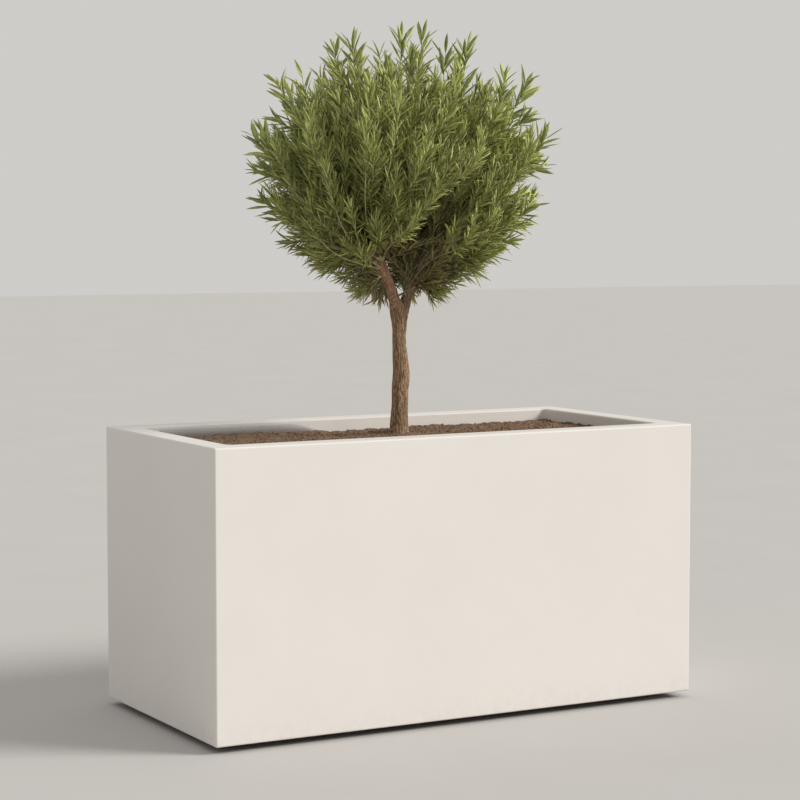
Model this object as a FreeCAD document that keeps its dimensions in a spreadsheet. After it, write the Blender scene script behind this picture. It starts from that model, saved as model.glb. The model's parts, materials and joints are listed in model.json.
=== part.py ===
"""Rectangular floor planter: a moulded shell on levelling feet, with a lift-out liner, soil and a small tree.

Millimetres. X runs along the planter, Y from front to back, Z up.
The origin is on the ground below the middle of the planter.
"""

import FreeCAD, Part
import os
import re

import Sketcher
from FreeCAD import Vector

SIZES = {
    # moulded shell: four walls, a flat rim turned inwards and a return turned down from it
    "case_length": 1200,
    "case_width": 590,
    "shell_height": 620,
    "floor_gap": 15,
    "shell_wall": 6,
    "rim_width": 58,
    "return_depth": 75,
    "edge_radius": 4,
    "mouth_corner_radius": 14,
    # base panel, screwed up into cleats that are bonded round the inside of the walls
    "base_recess": 4,
    "base_thickness": 15,
    "base_clearance": 0.5,
    "cleat_width": 30,
    "cleat_height": 22,
    "screw_end": 54,
    "screw_head_radius": 4.5,
    "screw_head_height": 3,
    "screw_shank_radius": 2.2,
    "screw_length": 30,
    "screw_clearance": 0.4,
    # drain holes in the base, each with a flanged bush
    "drain_end": 204,
    "drain_radius": 10,
    "bush_wall": 2,
    "bush_flange_radius": 18,
    "bush_flange_height": 2,
    "bush_clearance": 0.1,
    # levelling feet
    "foot_inset": 80,
    "pad_radius": 22,
    "pad_height": 7,
    "pad_chamfer": 2,
    "pivot_radius": 6,
    "pivot_depth": 4.5,
    "pivot_clearance": 0.3,
    "hexagon_width": 16,
    "hexagon_height": 4,
    "stem_radius": 5,
    "stem_length": 50,
    "stem_chamfer": 1,
    "thread_clearance": 0.06,
    "insert_radius": 8,
    "insert_flange_radius": 13,
    "insert_flange_height": 2,
    "insert_clearance": 0.1,
    # raised floor for the liner: ledge rails on posts, with bearers across them
    "post_side": 25,
    "post_wall": 2,
    "post_end": 194,
    "rail_leg": 35,
    "rail_wall": 3,
    "rail_clearance": 2,
    "bearer_width": 50,
    "bearer_height": 30,
    "bearer_wall": 2.5,
    "bearer_clearance": 1,
    # lift-out liner
    "lip_drop": 31,
    "lip_width": 10,
    "lip_thickness": 4,
    "lip_clearance": 5,
    "liner_depth": 320,
    "liner_wall": 4,
    "liner_taper": 3,
    "liner_corner_radius": 12,
    "liner_hole_radius": 6,
    "liner_hole_end": 107,
    "liner_hole_side": 122,
    # drainage mat with dimples, and the fleece over it that is turned up along the back
    "mat_clearance": 6,
    "mat_thickness": 2.5,
    "dimple_height": 12,
    "dimple_side": 34,
    "dimple_taper": 20,
    "dimple_margin": 50,
    "fleece_thickness": 2,
    "fleece_clearance": 0.6,
    "fleece_end_gap": 8,
    "fleece_showing": 20,
    "fleece_hidden_drop": 9,
    "fleece_trim_start": -110,
    "fleece_trim_end": -30,
    # soil, heaped over the lip
    "soil_cover": 5,
    "soil_edge_gap": 2.5,
    "soil_side_gap": 0.4,
    # tree
    "root_ball_radius": 130,
    "root_ball_base_radius": 108,
    "root_ball_depth": 220,
    "root_ball_clearance": 0.4,
    "flare_radius": 27,
    "flare_height": 28,
    "trunk_radius": 19,
    "trunk_bow": 6,
    "waist_radius": 17,
    "waist_drop": 75,
    "trunk_height": 305,
    "fork_radius": 18,
    "limb_radius": 13,
    "limb_tip_radius": 7,
    "limb_rise": 210,
    "limb_reach": 120,
    "limb_turn": 35,
    "limb_clearance": 0.3,
    "crown_rise": 220,
    "crown_radius": 278,
    "crown_belly_radius": 265,
    "crown_belly_drop": 70,
    "crown_skirt_radius": 205,
    "crown_skirt_drop": 145,
    "crown_neck_radius": 40,
    "crown_drop": 219,
    "crown_floor": 40,
    "leaf_layer": 12,
    "plume_half": 36,
    "low_plume_half": 26,
    "plume_tip_half": 3,
    "top_plume_rise": 122,
    "top_plume_root": 64,
    "high_plume_reach": 150,
    "high_plume_height": 588,
    "shoulder_plume_reach": 275,
    "shoulder_plume_height": 497,
    "side_plume_reach": 350,
    "side_plume_height": 385,
    "belly_plume_reach": 342,
    "belly_plume_height": 240,
    "skirt_plume_reach": 262,
    "skirt_plume_height": 120,
}

LONG_CLEAT_SCREW_COUNT = 4
SHORT_CLEAT_SCREW_COUNT = 2
DRAIN_COUNT = 4
LINER_HOLE_COUNTS = 5, 2
DIMPLE_COUNTS = 10, 4
HEXAGON_COUNT = 6
WOOD_SIDE_COUNT = 10
CROWN_BAND_COUNT = 5
PLUME_RINGS = "high_plume", "shoulder_plume", "side_plume", "belly_plume", "skirt_plume"
PLUME_COUNTS = 6, 11, 15, 14, 10
PLUME_ROOT_SHARE = 0.7
FULL_TURN = 360
QUARTER_TURN = 90
SMALLEST_CUT = 1
NEAR = 0.01
SIDES = {"front": -1, "back": 1}
ENDS = {"left": -1, "right": 1}
STATIONS = {"left": -1, "middle": 0, "right": 1}
# Places that several pieces share, as expressions of the sizes
INNER_LENGTH = "(case_length - 2 * shell_wall)"
INNER_WIDTH = "(case_width - 2 * shell_wall)"
MOUTH_LENGTH = "(case_length - 2 * rim_width)"
MOUTH_WIDTH = "(case_width - 2 * rim_width)"
RIM_TOP = "(floor_gap + shell_height)"
BASE_UNDER = "(floor_gap + base_recess)"
BASE_TOP = f"({BASE_UNDER} + base_thickness)"
CLEAT_TOP = f"({BASE_TOP} + cleat_height)"
FOOT_X = "(case_length / 2 - foot_inset)"
FOOT_Y = "(case_width / 2 - foot_inset)"
LIP_TOP = f"({RIM_TOP} - lip_drop)"
LINER_UNDER = f"({LIP_TOP} - liner_depth)"
LINER_FLOOR = f"({LINER_UNDER} + liner_wall)"
LEDGE_TOP = f"({LINER_UNDER} - bearer_height)"
LINER_LENGTH = f"({MOUTH_LENGTH} - 2 * (lip_clearance + lip_width))"
LINER_WIDTH = f"({MOUTH_WIDTH} - 2 * (lip_clearance + lip_width))"
MAT_TOP = f"({LINER_FLOOR} + dimple_height + mat_thickness)"
FLEECE_TOP = f"({MAT_TOP} + fleece_thickness)"
SLOPE = "tan(liner_taper * 1deg)"
SOIL_INSET = "(liner_wall + fleece_clearance + fleece_thickness + soil_side_gap)"
SOIL_TOP = f"({LIP_TOP} + soil_cover)"
FORK = f"({SOIL_TOP} + trunk_height)"
CROWN_EQUATOR = f"({FORK} + crown_rise)"
CROWN_TOP = f"({CROWN_EQUATOR} + crown_radius)"
POST_X = f"({INNER_LENGTH} / 2 - post_end)"

doc = FreeCAD.newDocument("planter")
sheet = doc.addObject("Spreadsheet::Sheet", "Sizes")
for row, (alias, size) in enumerate(SIZES.items(), start=1):
    sheet.set(f"A{row}", alias.replace("_", " "))
    sheet.set(f"B{row}", str(size))
    sheet.setAlias(f"B{row}", alias)
doc.recompute()

pieces = []


# Expressions

def sized(expression):
    """The expression with each size's name pointing at its cell."""
    return re.sub(r"[a-z_]+", lambda word: f"Sizes.{word[0]}" if word[0] in SIZES else word[0], expression)


def number(expression):
    return float(sheet.evalExpression(sized(expression)))


def bind(item, **expressions):
    for name, expression in expressions.items():
        item.setExpression(name.replace("__", "."), sized(expression))


def spread(count, reach):
    """Places of copies spread evenly between two end ones that are a reach from the middle, as expressions."""
    return [f"({2 * index / (count - 1) - 1} * {reach})" for index in range(count)]


# Sketches

def new_body(label):
    body = doc.addObject("PartDesign::Body", label)
    body.Label = label
    pieces.append(body)
    return body


def sketch_on(body, role, lift="0"):
    """An empty sketch on one of the body's origin planes, moved along that plane's normal."""
    made = body.newObject("Sketcher::SketchObject", "Sketch")
    plane = next(item for item in body.Origin.OriginFeatures if item.Role == role)
    made.AttachmentSupport = [(plane, "")]
    made.MapMode = "FlatFace"
    bind(made, AttachmentOffset__Base__z=lift)
    return made


def fix_point(made, line, end, x, y):
    """Holds one point of the sketch at a place given by two expressions."""
    for kind, expression in (("DistanceX", x), ("DistanceY", y)):
        held = made.addConstraint(Sketcher.Constraint(kind, -1, 1, line, end, number(expression)))
        made.setExpression(f"Constraints[{held}]", sized(expression))


def draw_outline(made, points):
    """A closed outline of straight lines through points given as expressions."""
    places = [Vector(number(x), number(y), 0) for x, y in points]
    count = len(points)
    first = made.GeometryCount
    for index in range(count):
        made.addGeometry(Part.LineSegment(places[index], places[(index + 1) % count]))
    for index, (x, y) in enumerate(points):
        following = first + (index + 1) % count
        made.addConstraint(Sketcher.Constraint("Coincident", first + index, 2, following, 1))
        fix_point(made, first + index, 1, x, y)


def draw_rectangle(made, width, depth, x="0", y="0"):
    low_x, high_x = f"({x} - {width} / 2)", f"({x} + {width} / 2)"
    low_y, high_y = f"({y} - {depth} / 2)", f"({y} + {depth} / 2)"
    draw_outline(made, [(low_x, low_y), (high_x, low_y), (high_x, high_y), (low_x, high_y)])


def draw_polygon(made, count, radius, x="0", y="0"):
    """A regular polygon with its first corner in the X direction from its middle."""
    turns = [f"{index * FULL_TURN / count}deg" for index in range(count)]
    draw_outline(made, [(f"{x} + ({radius}) * cos({turn})", f"{y} + ({radius}) * sin({turn})") for turn in turns])


def draw_circle(made, radius, x="0", y="0"):
    centre = Vector(number(x), number(y), 0)
    index = made.addGeometry(Part.Circle(centre, Vector(0, 0, 1), number(radius)))
    fix_point(made, index, 3, x, y)
    held = made.addConstraint(Sketcher.Constraint("Radius", index, number(radius)))
    made.setExpression(f"Constraints[{held}]", sized(radius))


# Features

def pad(body, profile, length, down=False, both_ways=False, taper="0"):
    made = body.newObject("PartDesign::Pad", "Pad")
    made.Profile = profile
    made.SideType = "Symmetric" if both_ways else "One side"
    made.Reversed = down
    bind(made, Length=length, TaperAngle=taper)
    doc.recompute()
    return made


def pocket(body, profile, depth, up=False, taper="0"):
    """A pocket below the sketch, or above it; it has to take something away."""
    before = body.Shape.Volume
    made = body.newObject("PartDesign::Pocket", "Pocket")
    made.Profile = profile
    made.Reversed = up
    bind(made, Length=depth, TaperAngle=taper)
    doc.recompute()
    if before - made.Shape.Volume < SMALLEST_CUT:
        raise RuntimeError(f"a pocket in {body.Label} cuts nothing")
    return made


def repeat_over(body, feature, profile, lengths, counts):
    """Repeats a feature in rows along its sketch's two axes."""
    rows = body.newObject("PartDesign::MultiTransform", "Rows")
    rows.Originals = [feature]
    steps = []
    for axis, length, count in zip(("H_Axis", "V_Axis"), lengths, counts):
        step = body.newObject("PartDesign::LinearPattern", "Row")
        step.Direction = (profile, [axis])
        step.Occurrences = count
        bind(step, Length=length)
        steps.append(step)
    rows.Transformations = steps
    body.Tip = rows
    doc.recompute()
    return rows


def fillet(body, radius, chosen):
    """Rounds the edges of the body so far that the test chooses."""
    base = body.Tip
    names = [f"Edge{index}" for index, edge in enumerate(base.Shape.Edges, start=1) if chosen(edge)]
    made = body.newObject("PartDesign::Fillet", "Fillet")
    made.Base = (base, names)
    bind(made, Radius=radius)
    doc.recompute()
    return made


def chamfer(body, size, chosen):
    base = body.Tip
    names = [f"Edge{index}" for index, edge in enumerate(base.Shape.Edges, start=1) if chosen(edge)]
    made = body.newObject("PartDesign::Chamfer", "Chamfer")
    made.Base = (base, names)
    bind(made, Size=size)
    doc.recompute()
    return made


def revolve(body, points, kind="PartDesign::Revolution"):
    """A full turn about the Z axis of an outline of radius and height, added or taken away."""
    profile = sketch_on(body, "XZ_Plane")
    draw_outline(profile, points)
    made = body.newObject(kind, "Turned")
    made.Profile = profile
    made.ReferenceAxis = (profile, ["V_Axis"])
    made.Angle = FULL_TURN
    doc.recompute()
    return made


def place(item, x="0", y="0", z="0"):
    bind(item, Placement__Base__x=x, Placement__Base__y=y, Placement__Base__z=z)


def is_upright(edge):
    """An edge that mostly rises, as the corner of a tapered wall does."""
    box = edge.BoundBox
    return box.ZLength > 2 * max(box.XLength, box.YLength)


def lies_at(height):
    level = number(height)
    return lambda edge: max(abs(edge.BoundBox.ZMin - level), abs(edge.BoundBox.ZMax - level)) < NEAR


def within(edge, length, width):
    """Whether an edge lies inside a centred rectangle, with a little to spare."""
    box = edge.BoundBox
    reach_x, reach_y = max(-box.XMin, box.XMax), max(-box.YMin, box.YMax)
    return reach_x < number(length) / 2 + NEAR and reach_y < number(width) / 2 + NEAR


# Shell

def make_shell():
    body = new_body("shell")
    block = sketch_on(body, "XY_Plane", "floor_gap")
    draw_rectangle(block, "case_length", "case_width")
    pad(body, block, "shell_height")
    fillet(body, "edge_radius", lambda edge: True)

    hollow = sketch_on(body, "XY_Plane", "floor_gap")
    draw_rectangle(hollow, INNER_LENGTH, INNER_WIDTH)
    pocket(body, hollow, "shell_height - shell_wall", up=True)

    mouth = sketch_on(body, "XY_Plane", RIM_TOP)
    draw_rectangle(mouth, MOUTH_LENGTH, MOUTH_WIDTH)
    pocket(body, mouth, "shell_wall")

    turned_down = sketch_on(body, "XY_Plane", f"{RIM_TOP} - shell_wall")
    draw_rectangle(turned_down, MOUTH_LENGTH, MOUTH_WIDTH)
    draw_rectangle(turned_down, f"({MOUTH_LENGTH} + 2 * shell_wall)", f"({MOUTH_WIDTH} + 2 * shell_wall)")
    pad(body, turned_down, "return_depth - shell_wall", down=True)

    def in_mouth(edge):
        return within(edge, MOUTH_LENGTH, MOUTH_WIDTH)

    fillet(body, "mouth_corner_radius", lambda edge: in_mouth(edge) and is_upright(edge))
    at_rim = lies_at(RIM_TOP)
    fillet(body, "edge_radius", lambda edge: in_mouth(edge) and at_rim(edge))


# Base

def screw_places():
    """Along the middle of each cleat."""
    long_y = f"({INNER_WIDTH} / 2 - cleat_width / 2)"
    long_reach = f"({INNER_LENGTH} / 2 - screw_end)"
    short_x = f"({INNER_LENGTH} / 2 - cleat_width / 2)"
    short_reach = f"({INNER_WIDTH} / 2 - cleat_width - screw_end)"
    found = []
    for side in SIDES.values():
        found += [(x, f"({side} * {long_y})") for x in spread(LONG_CLEAT_SCREW_COUNT, long_reach)]
    for end in ENDS.values():
        found += [(f"({end} * {short_x})", y) for y in spread(SHORT_CLEAT_SCREW_COUNT, short_reach)]
    return found


def foot_places():
    """Name and place of each levelling foot."""
    return [
        (f"{side}_{end}", f"({ENDS[end]} * {FOOT_X})", f"({SIDES[side]} * {FOOT_Y})")
        for side in SIDES
        for end in ENDS
    ]


def drain_places():
    return [(x, "0") for x in spread(DRAIN_COUNT, f"({INNER_LENGTH} / 2 - drain_end)")]


def make_base_panel():
    body = new_body("base_panel")
    board = sketch_on(body, "XY_Plane", BASE_UNDER)
    draw_rectangle(board, f"({INNER_LENGTH} - 2 * base_clearance)", f"({INNER_WIDTH} - 2 * base_clearance)")
    pad(body, board, "base_thickness")

    holes = sketch_on(body, "XY_Plane", BASE_UNDER)
    for _, x, y in foot_places():
        draw_circle(holes, "(insert_radius + insert_clearance)", x, y)
    for x, y in drain_places():
        draw_circle(holes, "(drain_radius + bush_wall + bush_clearance)", x, y)
    for x, y in screw_places():
        draw_circle(holes, "(screw_shank_radius + screw_clearance)", x, y)
    pocket(body, holes, "base_thickness", up=True)


def make_base_screws():
    body = new_body("base_screws")
    heads = sketch_on(body, "XY_Plane", BASE_UNDER)
    shanks = sketch_on(body, "XY_Plane", BASE_UNDER)
    for x, y in screw_places():
        draw_circle(heads, "screw_head_radius", x, y)
        draw_circle(shanks, "screw_shank_radius", x, y)
    pad(body, heads, "screw_head_height", down=True)
    pad(body, shanks, "screw_length")


def make_cleat(label, length, width, x="0", y="0"):
    batten = doc.addObject("Part::Box", label)
    batten.Label = label
    bind(batten, Length=length, Width=width, Height="cleat_height")
    place(batten, f"{x} - {length} / 2", f"{y} - {width} / 2", BASE_TOP)
    pieces.append(batten)


def make_cleats():
    for name, side in SIDES.items():
        y = f"({side} * ({INNER_WIDTH} - cleat_width) / 2)"
        make_cleat(f"base_cleat_{name}", INNER_LENGTH, "cleat_width", y=y)
    for name, end in ENDS.items():
        x = f"({end} * ({INNER_LENGTH} - cleat_width) / 2)"
        make_cleat(f"base_cleat_{name}", "cleat_width", f"({INNER_WIDTH} - 2 * cleat_width)", x=x)


def make_drain_bush(label, x, y):
    body = new_body(label)
    outer = "drain_radius + bush_wall"
    revolve(body, [
        ("drain_radius", f"{BASE_UNDER} - bush_flange_height"),
        ("bush_flange_radius", f"{BASE_UNDER} - bush_flange_height"),
        ("bush_flange_radius", BASE_UNDER),
        (outer, BASE_UNDER),
        (outer, BASE_TOP),
        ("drain_radius", BASE_TOP),
    ])
    place(body, x, y)


# Levelling feet

def make_foot(name, x, y):
    """A pad on the ground, a stem that turns in it, and the insert in the base that the stem screws into."""
    insert = new_body(f"foot_insert_{name}")
    bore = "stem_radius + thread_clearance"
    flange_under = f"{BASE_UNDER} - insert_flange_height"
    revolve(insert, [
        (bore, flange_under),
        ("insert_flange_radius", flange_under),
        ("insert_flange_radius", BASE_UNDER),
        ("insert_radius", BASE_UNDER),
        ("insert_radius", BASE_TOP),
        (bore, BASE_TOP),
    ])
    place(insert, x, y)

    socket = "pivot_radius + pivot_clearance"
    socket_floor = "pad_height - pivot_depth"
    glide = new_body(f"foot_pad_{name}")
    revolve(glide, [
        ("0", "0"),
        ("pad_radius", "0"),
        ("pad_radius", "pad_height - pad_chamfer"),
        ("pad_radius - 2 * pad_chamfer", "pad_height"),
        (socket, "pad_height"),
        (socket, socket_floor),
        ("0", socket_floor),
    ])
    place(glide, x, y)

    stem = new_body(f"foot_stem_{name}")
    hexagon_under = "(pad_height + pivot_clearance)"
    hexagon = sketch_on(stem, "XY_Plane", hexagon_under)
    draw_polygon(hexagon, HEXAGON_COUNT, "hexagon_width / 2 / cos(30deg)")
    pad(stem, hexagon, "hexagon_height")
    pivot = sketch_on(stem, "XY_Plane", hexagon_under)
    draw_circle(pivot, "pivot_radius")
    pad(stem, pivot, "pivot_depth", down=True)
    rod = sketch_on(stem, "XY_Plane", f"{hexagon_under} + hexagon_height")
    draw_circle(rod, "stem_radius")
    pad(stem, rod, "stem_length")
    chamfer(stem, "stem_chamfer", lies_at(f"{hexagon_under} + hexagon_height + stem_length"))
    place(stem, x, y)


# Raised floor that the liner stands on

def make_ledge_rail(name, side):
    """An angle with one leg up the wall and one leg out under the bearers."""
    body = new_body(f"ledge_rail_{name}")
    angle = sketch_on(body, "YZ_Plane")
    wall = f"({INNER_WIDTH} / 2)"
    under = f"({LEDGE_TOP} - rail_wall)"
    draw_outline(angle, [
        (f"{side} * {wall}", under),
        (f"{side} * ({wall} - rail_leg)", under),
        (f"{side} * ({wall} - rail_leg)", LEDGE_TOP),
        (f"{side} * ({wall} - rail_wall)", LEDGE_TOP),
        (f"{side} * ({wall} - rail_wall)", f"{under} + rail_leg"),
        (f"{side} * {wall}", f"{under} + rail_leg"),
    ])
    pad(body, angle, f"{INNER_LENGTH} - 2 * rail_clearance", both_ways=True)


def make_post(label, x, side):
    """A square tube from the cleat up to the ledge rail."""
    body = new_body(label)
    section = sketch_on(body, "XY_Plane", CLEAT_TOP)
    y = f"({side} * ({INNER_WIDTH} - post_side) / 2)"
    bore = "(post_side - 2 * post_wall)"
    draw_rectangle(section, "post_side", "post_side", x, y)
    draw_rectangle(section, bore, bore, x, y)
    pad(body, section, f"{LEDGE_TOP} - rail_wall - {CLEAT_TOP}")


def make_bearer(label, x):
    """A box section across the planter from rail to rail."""
    body = new_body(label)
    section = sketch_on(body, "XZ_Plane")
    middle = f"({LEDGE_TOP} + bearer_height / 2)"
    draw_rectangle(section, "bearer_width", "bearer_height", x, middle)
    bore = ("(bearer_width - 2 * bearer_wall)", "(bearer_height - 2 * bearer_wall)")
    draw_rectangle(section, *bore, x, middle)
    pad(body, section, f"{INNER_WIDTH} - 2 * (rail_wall + bearer_clearance)", both_ways=True)


def make_raised_floor():
    for name, side in SIDES.items():
        make_ledge_rail(name, side)
        for station, step in STATIONS.items():
            make_post(f"ledge_post_{name}_{station}", f"({step} * {POST_X})", side)
    for station, step in STATIONS.items():
        make_bearer(f"bearer_{station}", f"({step} * {POST_X})")


# Liner and what lies in it

def make_liner():
    body = new_body("liner")
    outside = sketch_on(body, "XY_Plane", LIP_TOP)
    draw_rectangle(outside, LINER_LENGTH, LINER_WIDTH)
    pad(body, outside, "liner_depth", down=True, taper="-liner_taper")
    fillet(body, "liner_corner_radius", is_upright)

    lip = sketch_on(body, "XY_Plane", LIP_TOP)
    draw_rectangle(lip, f"({LINER_LENGTH} + 2 * lip_width)", f"({LINER_WIDTH} + 2 * lip_width)")
    pad(body, lip, "lip_thickness", down=True)

    inside = sketch_on(body, "XY_Plane", LIP_TOP)
    draw_rectangle(inside, f"({LINER_LENGTH} - 2 * liner_wall)", f"({LINER_WIDTH} - 2 * liner_wall)")
    pocket(body, inside, "liner_depth - liner_wall", taper="-liner_taper")

    drains = sketch_on(body, "XY_Plane", LINER_UNDER)
    for x in spread(LINER_HOLE_COUNTS[0], f"({LINER_LENGTH} / 2 - liner_hole_end)"):
        for y in spread(LINER_HOLE_COUNTS[1], f"({LINER_WIDTH} / 2 - liner_hole_side)"):
            draw_circle(drains, "liner_hole_radius", x, y)
    pocket(body, drains, "liner_wall", up=True)


def floor_size(top_size):
    """A size across the liner's inside at its floor, from the same size at its lip."""
    return f"({top_size} - 2 * liner_wall - 2 * (liner_depth - liner_wall) * {SLOPE})"


def make_drainage_mat():
    body = new_body("drainage_mat")
    web = sketch_on(body, "XY_Plane", f"{LINER_FLOOR} + dimple_height")
    length = f"({floor_size(LINER_LENGTH)} - 2 * mat_clearance)"
    width = f"({floor_size(LINER_WIDTH)} - 2 * mat_clearance)"
    draw_rectangle(web, length, width)
    pad(body, web, "mat_thickness")
    corner = sketch_on(body, "XY_Plane", f"{LINER_FLOOR} + dimple_height")
    reach_x, reach_y = f"({length} / 2 - dimple_margin)", f"({width} / 2 - dimple_margin)"
    draw_rectangle(corner, "dimple_side", "dimple_side", f"-{reach_x}", f"-{reach_y}")
    dimple = pad(body, corner, "dimple_height", down=True, taper="-dimple_taper")
    repeat_over(body, dimple, corner, (f"2 * {reach_x}", f"2 * {reach_y}"), DIMPLE_COUNTS)


def wall_at(height, inset):
    """How far from the middle the liner's back wall is at a height, less an inset from its outside."""
    return f"({LINER_WIDTH} / 2 - {inset} - ({LIP_TOP} - {height}) * {SLOPE})"


def make_filter_fleece():
    """A cloth over the mat, turned up along the back wall and trimmed lower towards the right."""
    body = new_body("filter_fleece")
    high = f"({SOIL_TOP} + fleece_showing)"
    outer, inner = "(liner_wall + fleece_clearance)", "(liner_wall + fleece_clearance + fleece_thickness)"
    fold = sketch_on(body, "YZ_Plane")
    draw_outline(fold, [
        (f"-{wall_at(MAT_TOP, outer)}", MAT_TOP),
        (wall_at(MAT_TOP, outer), MAT_TOP),
        (wall_at(LIP_TOP, outer), LIP_TOP),
        (wall_at(LIP_TOP, outer), high),
        (wall_at(LIP_TOP, inner), high),
        (wall_at(LIP_TOP, inner), LIP_TOP),
        (wall_at(FLEECE_TOP, inner), FLEECE_TOP),
        (f"-{wall_at(MAT_TOP, outer)}", FLEECE_TOP),
    ])
    length = f"({floor_size(LINER_LENGTH)} - 2 * fleece_end_gap)"
    pad(body, fold, length, both_ways=True)
    low = f"({LIP_TOP} - fleece_hidden_drop)"
    trimmed = sketch_on(body, "XZ_Plane", f"-{LINER_WIDTH} / 2")
    draw_outline(trimmed, [
        ("fleece_trim_end", low),
        (f"{length} / 2 + fleece_end_gap", low),
        (f"{length} / 2 + fleece_end_gap", f"{high} + fleece_thickness"),
        ("fleece_trim_start", f"{high} + fleece_thickness"),
        ("fleece_trim_start", high),
    ])
    pocket(body, trimmed, f"{LINER_WIDTH} / 2", up=True)


def make_soil():
    """Fills the liner down to the fleece, and lies over its lip as far as the shell."""
    body = new_body("soil")
    filling = sketch_on(body, "XY_Plane", LIP_TOP)
    draw_rectangle(filling, f"({LINER_LENGTH} - 2 * {SOIL_INSET})", f"({LINER_WIDTH} - 2 * {SOIL_INSET})")
    pad(body, filling, f"{LIP_TOP} - {FLEECE_TOP}", down=True, taper="-liner_taper")

    heaped = sketch_on(body, "XY_Plane", LIP_TOP)
    length, width = f"({MOUTH_LENGTH} - 2 * soil_edge_gap)", f"({MOUTH_WIDTH} - 2 * soil_edge_gap)"
    draw_rectangle(heaped, length, width)
    pad(body, heaped, "soil_cover")
    fillet(body, "mouth_corner_radius", lambda edge: is_upright(edge) and not within(edge, LINER_LENGTH, width))

    behind_fleece = sketch_on(body, "XY_Plane", SOIL_TOP)
    inner_edge = f"({LINER_WIDTH} / 2 - {SOIL_INSET})"
    draw_outline(behind_fleece, [
        (f"-{length}", inner_edge),
        ("fleece_trim_end + soil_edge_gap", inner_edge),
        ("fleece_trim_end + soil_edge_gap", width),
        (f"-{length}", width),
    ])
    pocket(body, behind_fleece, "soil_cover")

    planting_hole = sketch_on(body, "XY_Plane", SOIL_TOP)
    draw_circle(planting_hole, "(root_ball_radius + root_ball_clearance)")
    pocket(body, planting_hole, "(root_ball_depth + root_ball_clearance)")


# Tree

def make_root_ball():
    ball = doc.addObject("Part::Cone", "root_ball")
    ball.Label = "root_ball"
    bind(ball, Radius1="root_ball_base_radius", Radius2="root_ball_radius", Height="root_ball_depth")
    place(ball, z=f"{SOIL_TOP} - root_ball_depth")
    pieces.append(ball)


def loft_limb(body, sections):
    """A flat-sided limb through level sections, each given as radius, x, y and height above the soil."""
    rings = []
    for radius, x, y, height in sections:
        ring = sketch_on(body, "XY_Plane", f"{SOIL_TOP} + {height}")
        draw_polygon(ring, WOOD_SIDE_COUNT, radius, x, y)
        rings.append(ring)
    made = body.newObject("PartDesign::AdditiveLoft", "Limb")
    made.Profile = rings[0]
    made.Sections = rings[1:]
    made.Ruled = True
    doc.recompute()


def grow_wood(body, extra="0"):
    """The trunk, which runs on into the left limb, and the right limb that leaves it at the fork."""
    def swollen(radius):
        return f"({radius} + {extra})"

    fork = "(trunk_height - waist_drop / 2)"
    loft_limb(body, [
        (swollen("flare_radius"), "0", "0", "0"),
        (swollen("trunk_radius"), "0", "0", "flare_height"),
        (swollen("trunk_radius"), "trunk_bow", "0", "(flare_height + trunk_height - waist_drop) / 2"),
        (swollen("waist_radius"), "0", "0", "trunk_height - waist_drop"),
        (swollen("fork_radius"), "-limb_radius / 2", "0", "trunk_height"),
        (swollen("limb_radius"), "-limb_reach / 2", "-limb_turn / 2", "trunk_height + limb_rise / 2"),
        (swollen("limb_tip_radius"), "-limb_reach", "-limb_turn", "trunk_height + limb_rise"),
    ])
    loft_limb(body, [
        (swollen("limb_radius"), "0", "0", fork),
        (swollen("limb_radius"), "limb_radius", "0", "trunk_height"),
        (swollen("limb_radius"), "limb_reach / 2", "limb_turn / 2", "trunk_height + limb_rise / 2"),
        (swollen("limb_tip_radius"), "limb_reach", "limb_turn", "trunk_height + limb_rise"),
    ])


def crown_outline(inset, floor):
    """The crown's core from its axis out: a cone from the fork, a round belly, and a dome of straight bands."""
    points = [
        ("0", f"{CROWN_EQUATOR} - crown_drop + {floor}"),
        ("crown_neck_radius", f"{CROWN_EQUATOR} - crown_drop + {floor}"),
        (f"crown_skirt_radius - {inset}", f"{CROWN_EQUATOR} - crown_skirt_drop + {inset}"),
        (f"crown_belly_radius - {inset}", f"{CROWN_EQUATOR} - crown_belly_drop"),
    ]
    for band in range(CROWN_BAND_COUNT + 1):
        turn = f"{band * QUARTER_TURN / CROWN_BAND_COUNT}deg"
        radius = f"(crown_radius - {inset})"
        points.append((f"{radius} * cos({turn})", f"{CROWN_EQUATOR} + {radius} * sin({turn})"))
    return points + [("0", points[-1][1])]


def add_plume(body, root, tip, half):
    """A pointed four-sided plume from a root inside the core to a tip, each given as radius and height."""
    guide = sketch_on(body, "XZ_Plane")
    guide.addGeometry(Part.LineSegment(*[Vector(number(x), number(y), 0) for x, y in (root, tip)]))
    fix_point(guide, 0, 1, *root)
    fix_point(guide, 0, 2, *tip)
    doc.recompute()
    made = body.newObject("PartDesign::AdditiveWedge", "Plume")
    made.AttachmentSupport = [(guide, "Edge1")]
    made.MapMode = "NormalToEdge"
    made.AttachmentOffset = FreeCAD.Placement(Vector(), FreeCAD.Rotation(Vector(1, 0, 0), -QUARTER_TURN))
    for axis in ("X", "Z"):
        bind(made, **{f"{axis}min": f"-{half}", f"{axis}max": half})
        bind(made, **{f"{axis}2min": "-plume_tip_half", f"{axis}2max": "plume_tip_half"})
    run, rise = (f"({end} - ({start}))" for start, end in zip(root, tip))
    bind(made, Ymin="0", Ymax=f"sqrt({run}^2 + {rise}^2)")
    doc.recompute()
    return made


def repeat_round(body, feature, count):
    """Repeats a feature evenly in a full turn about the Z axis."""
    ring = body.newObject("PartDesign::PolarPattern", "Ring")
    ring.Originals = [feature]
    ring.Axis = (next(item for item in body.Origin.OriginFeatures if item.Role == "Z_Axis"), [""])
    ring.Angle = FULL_TURN
    ring.Occurrences = count
    body.Tip = ring
    doc.recompute()


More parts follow.
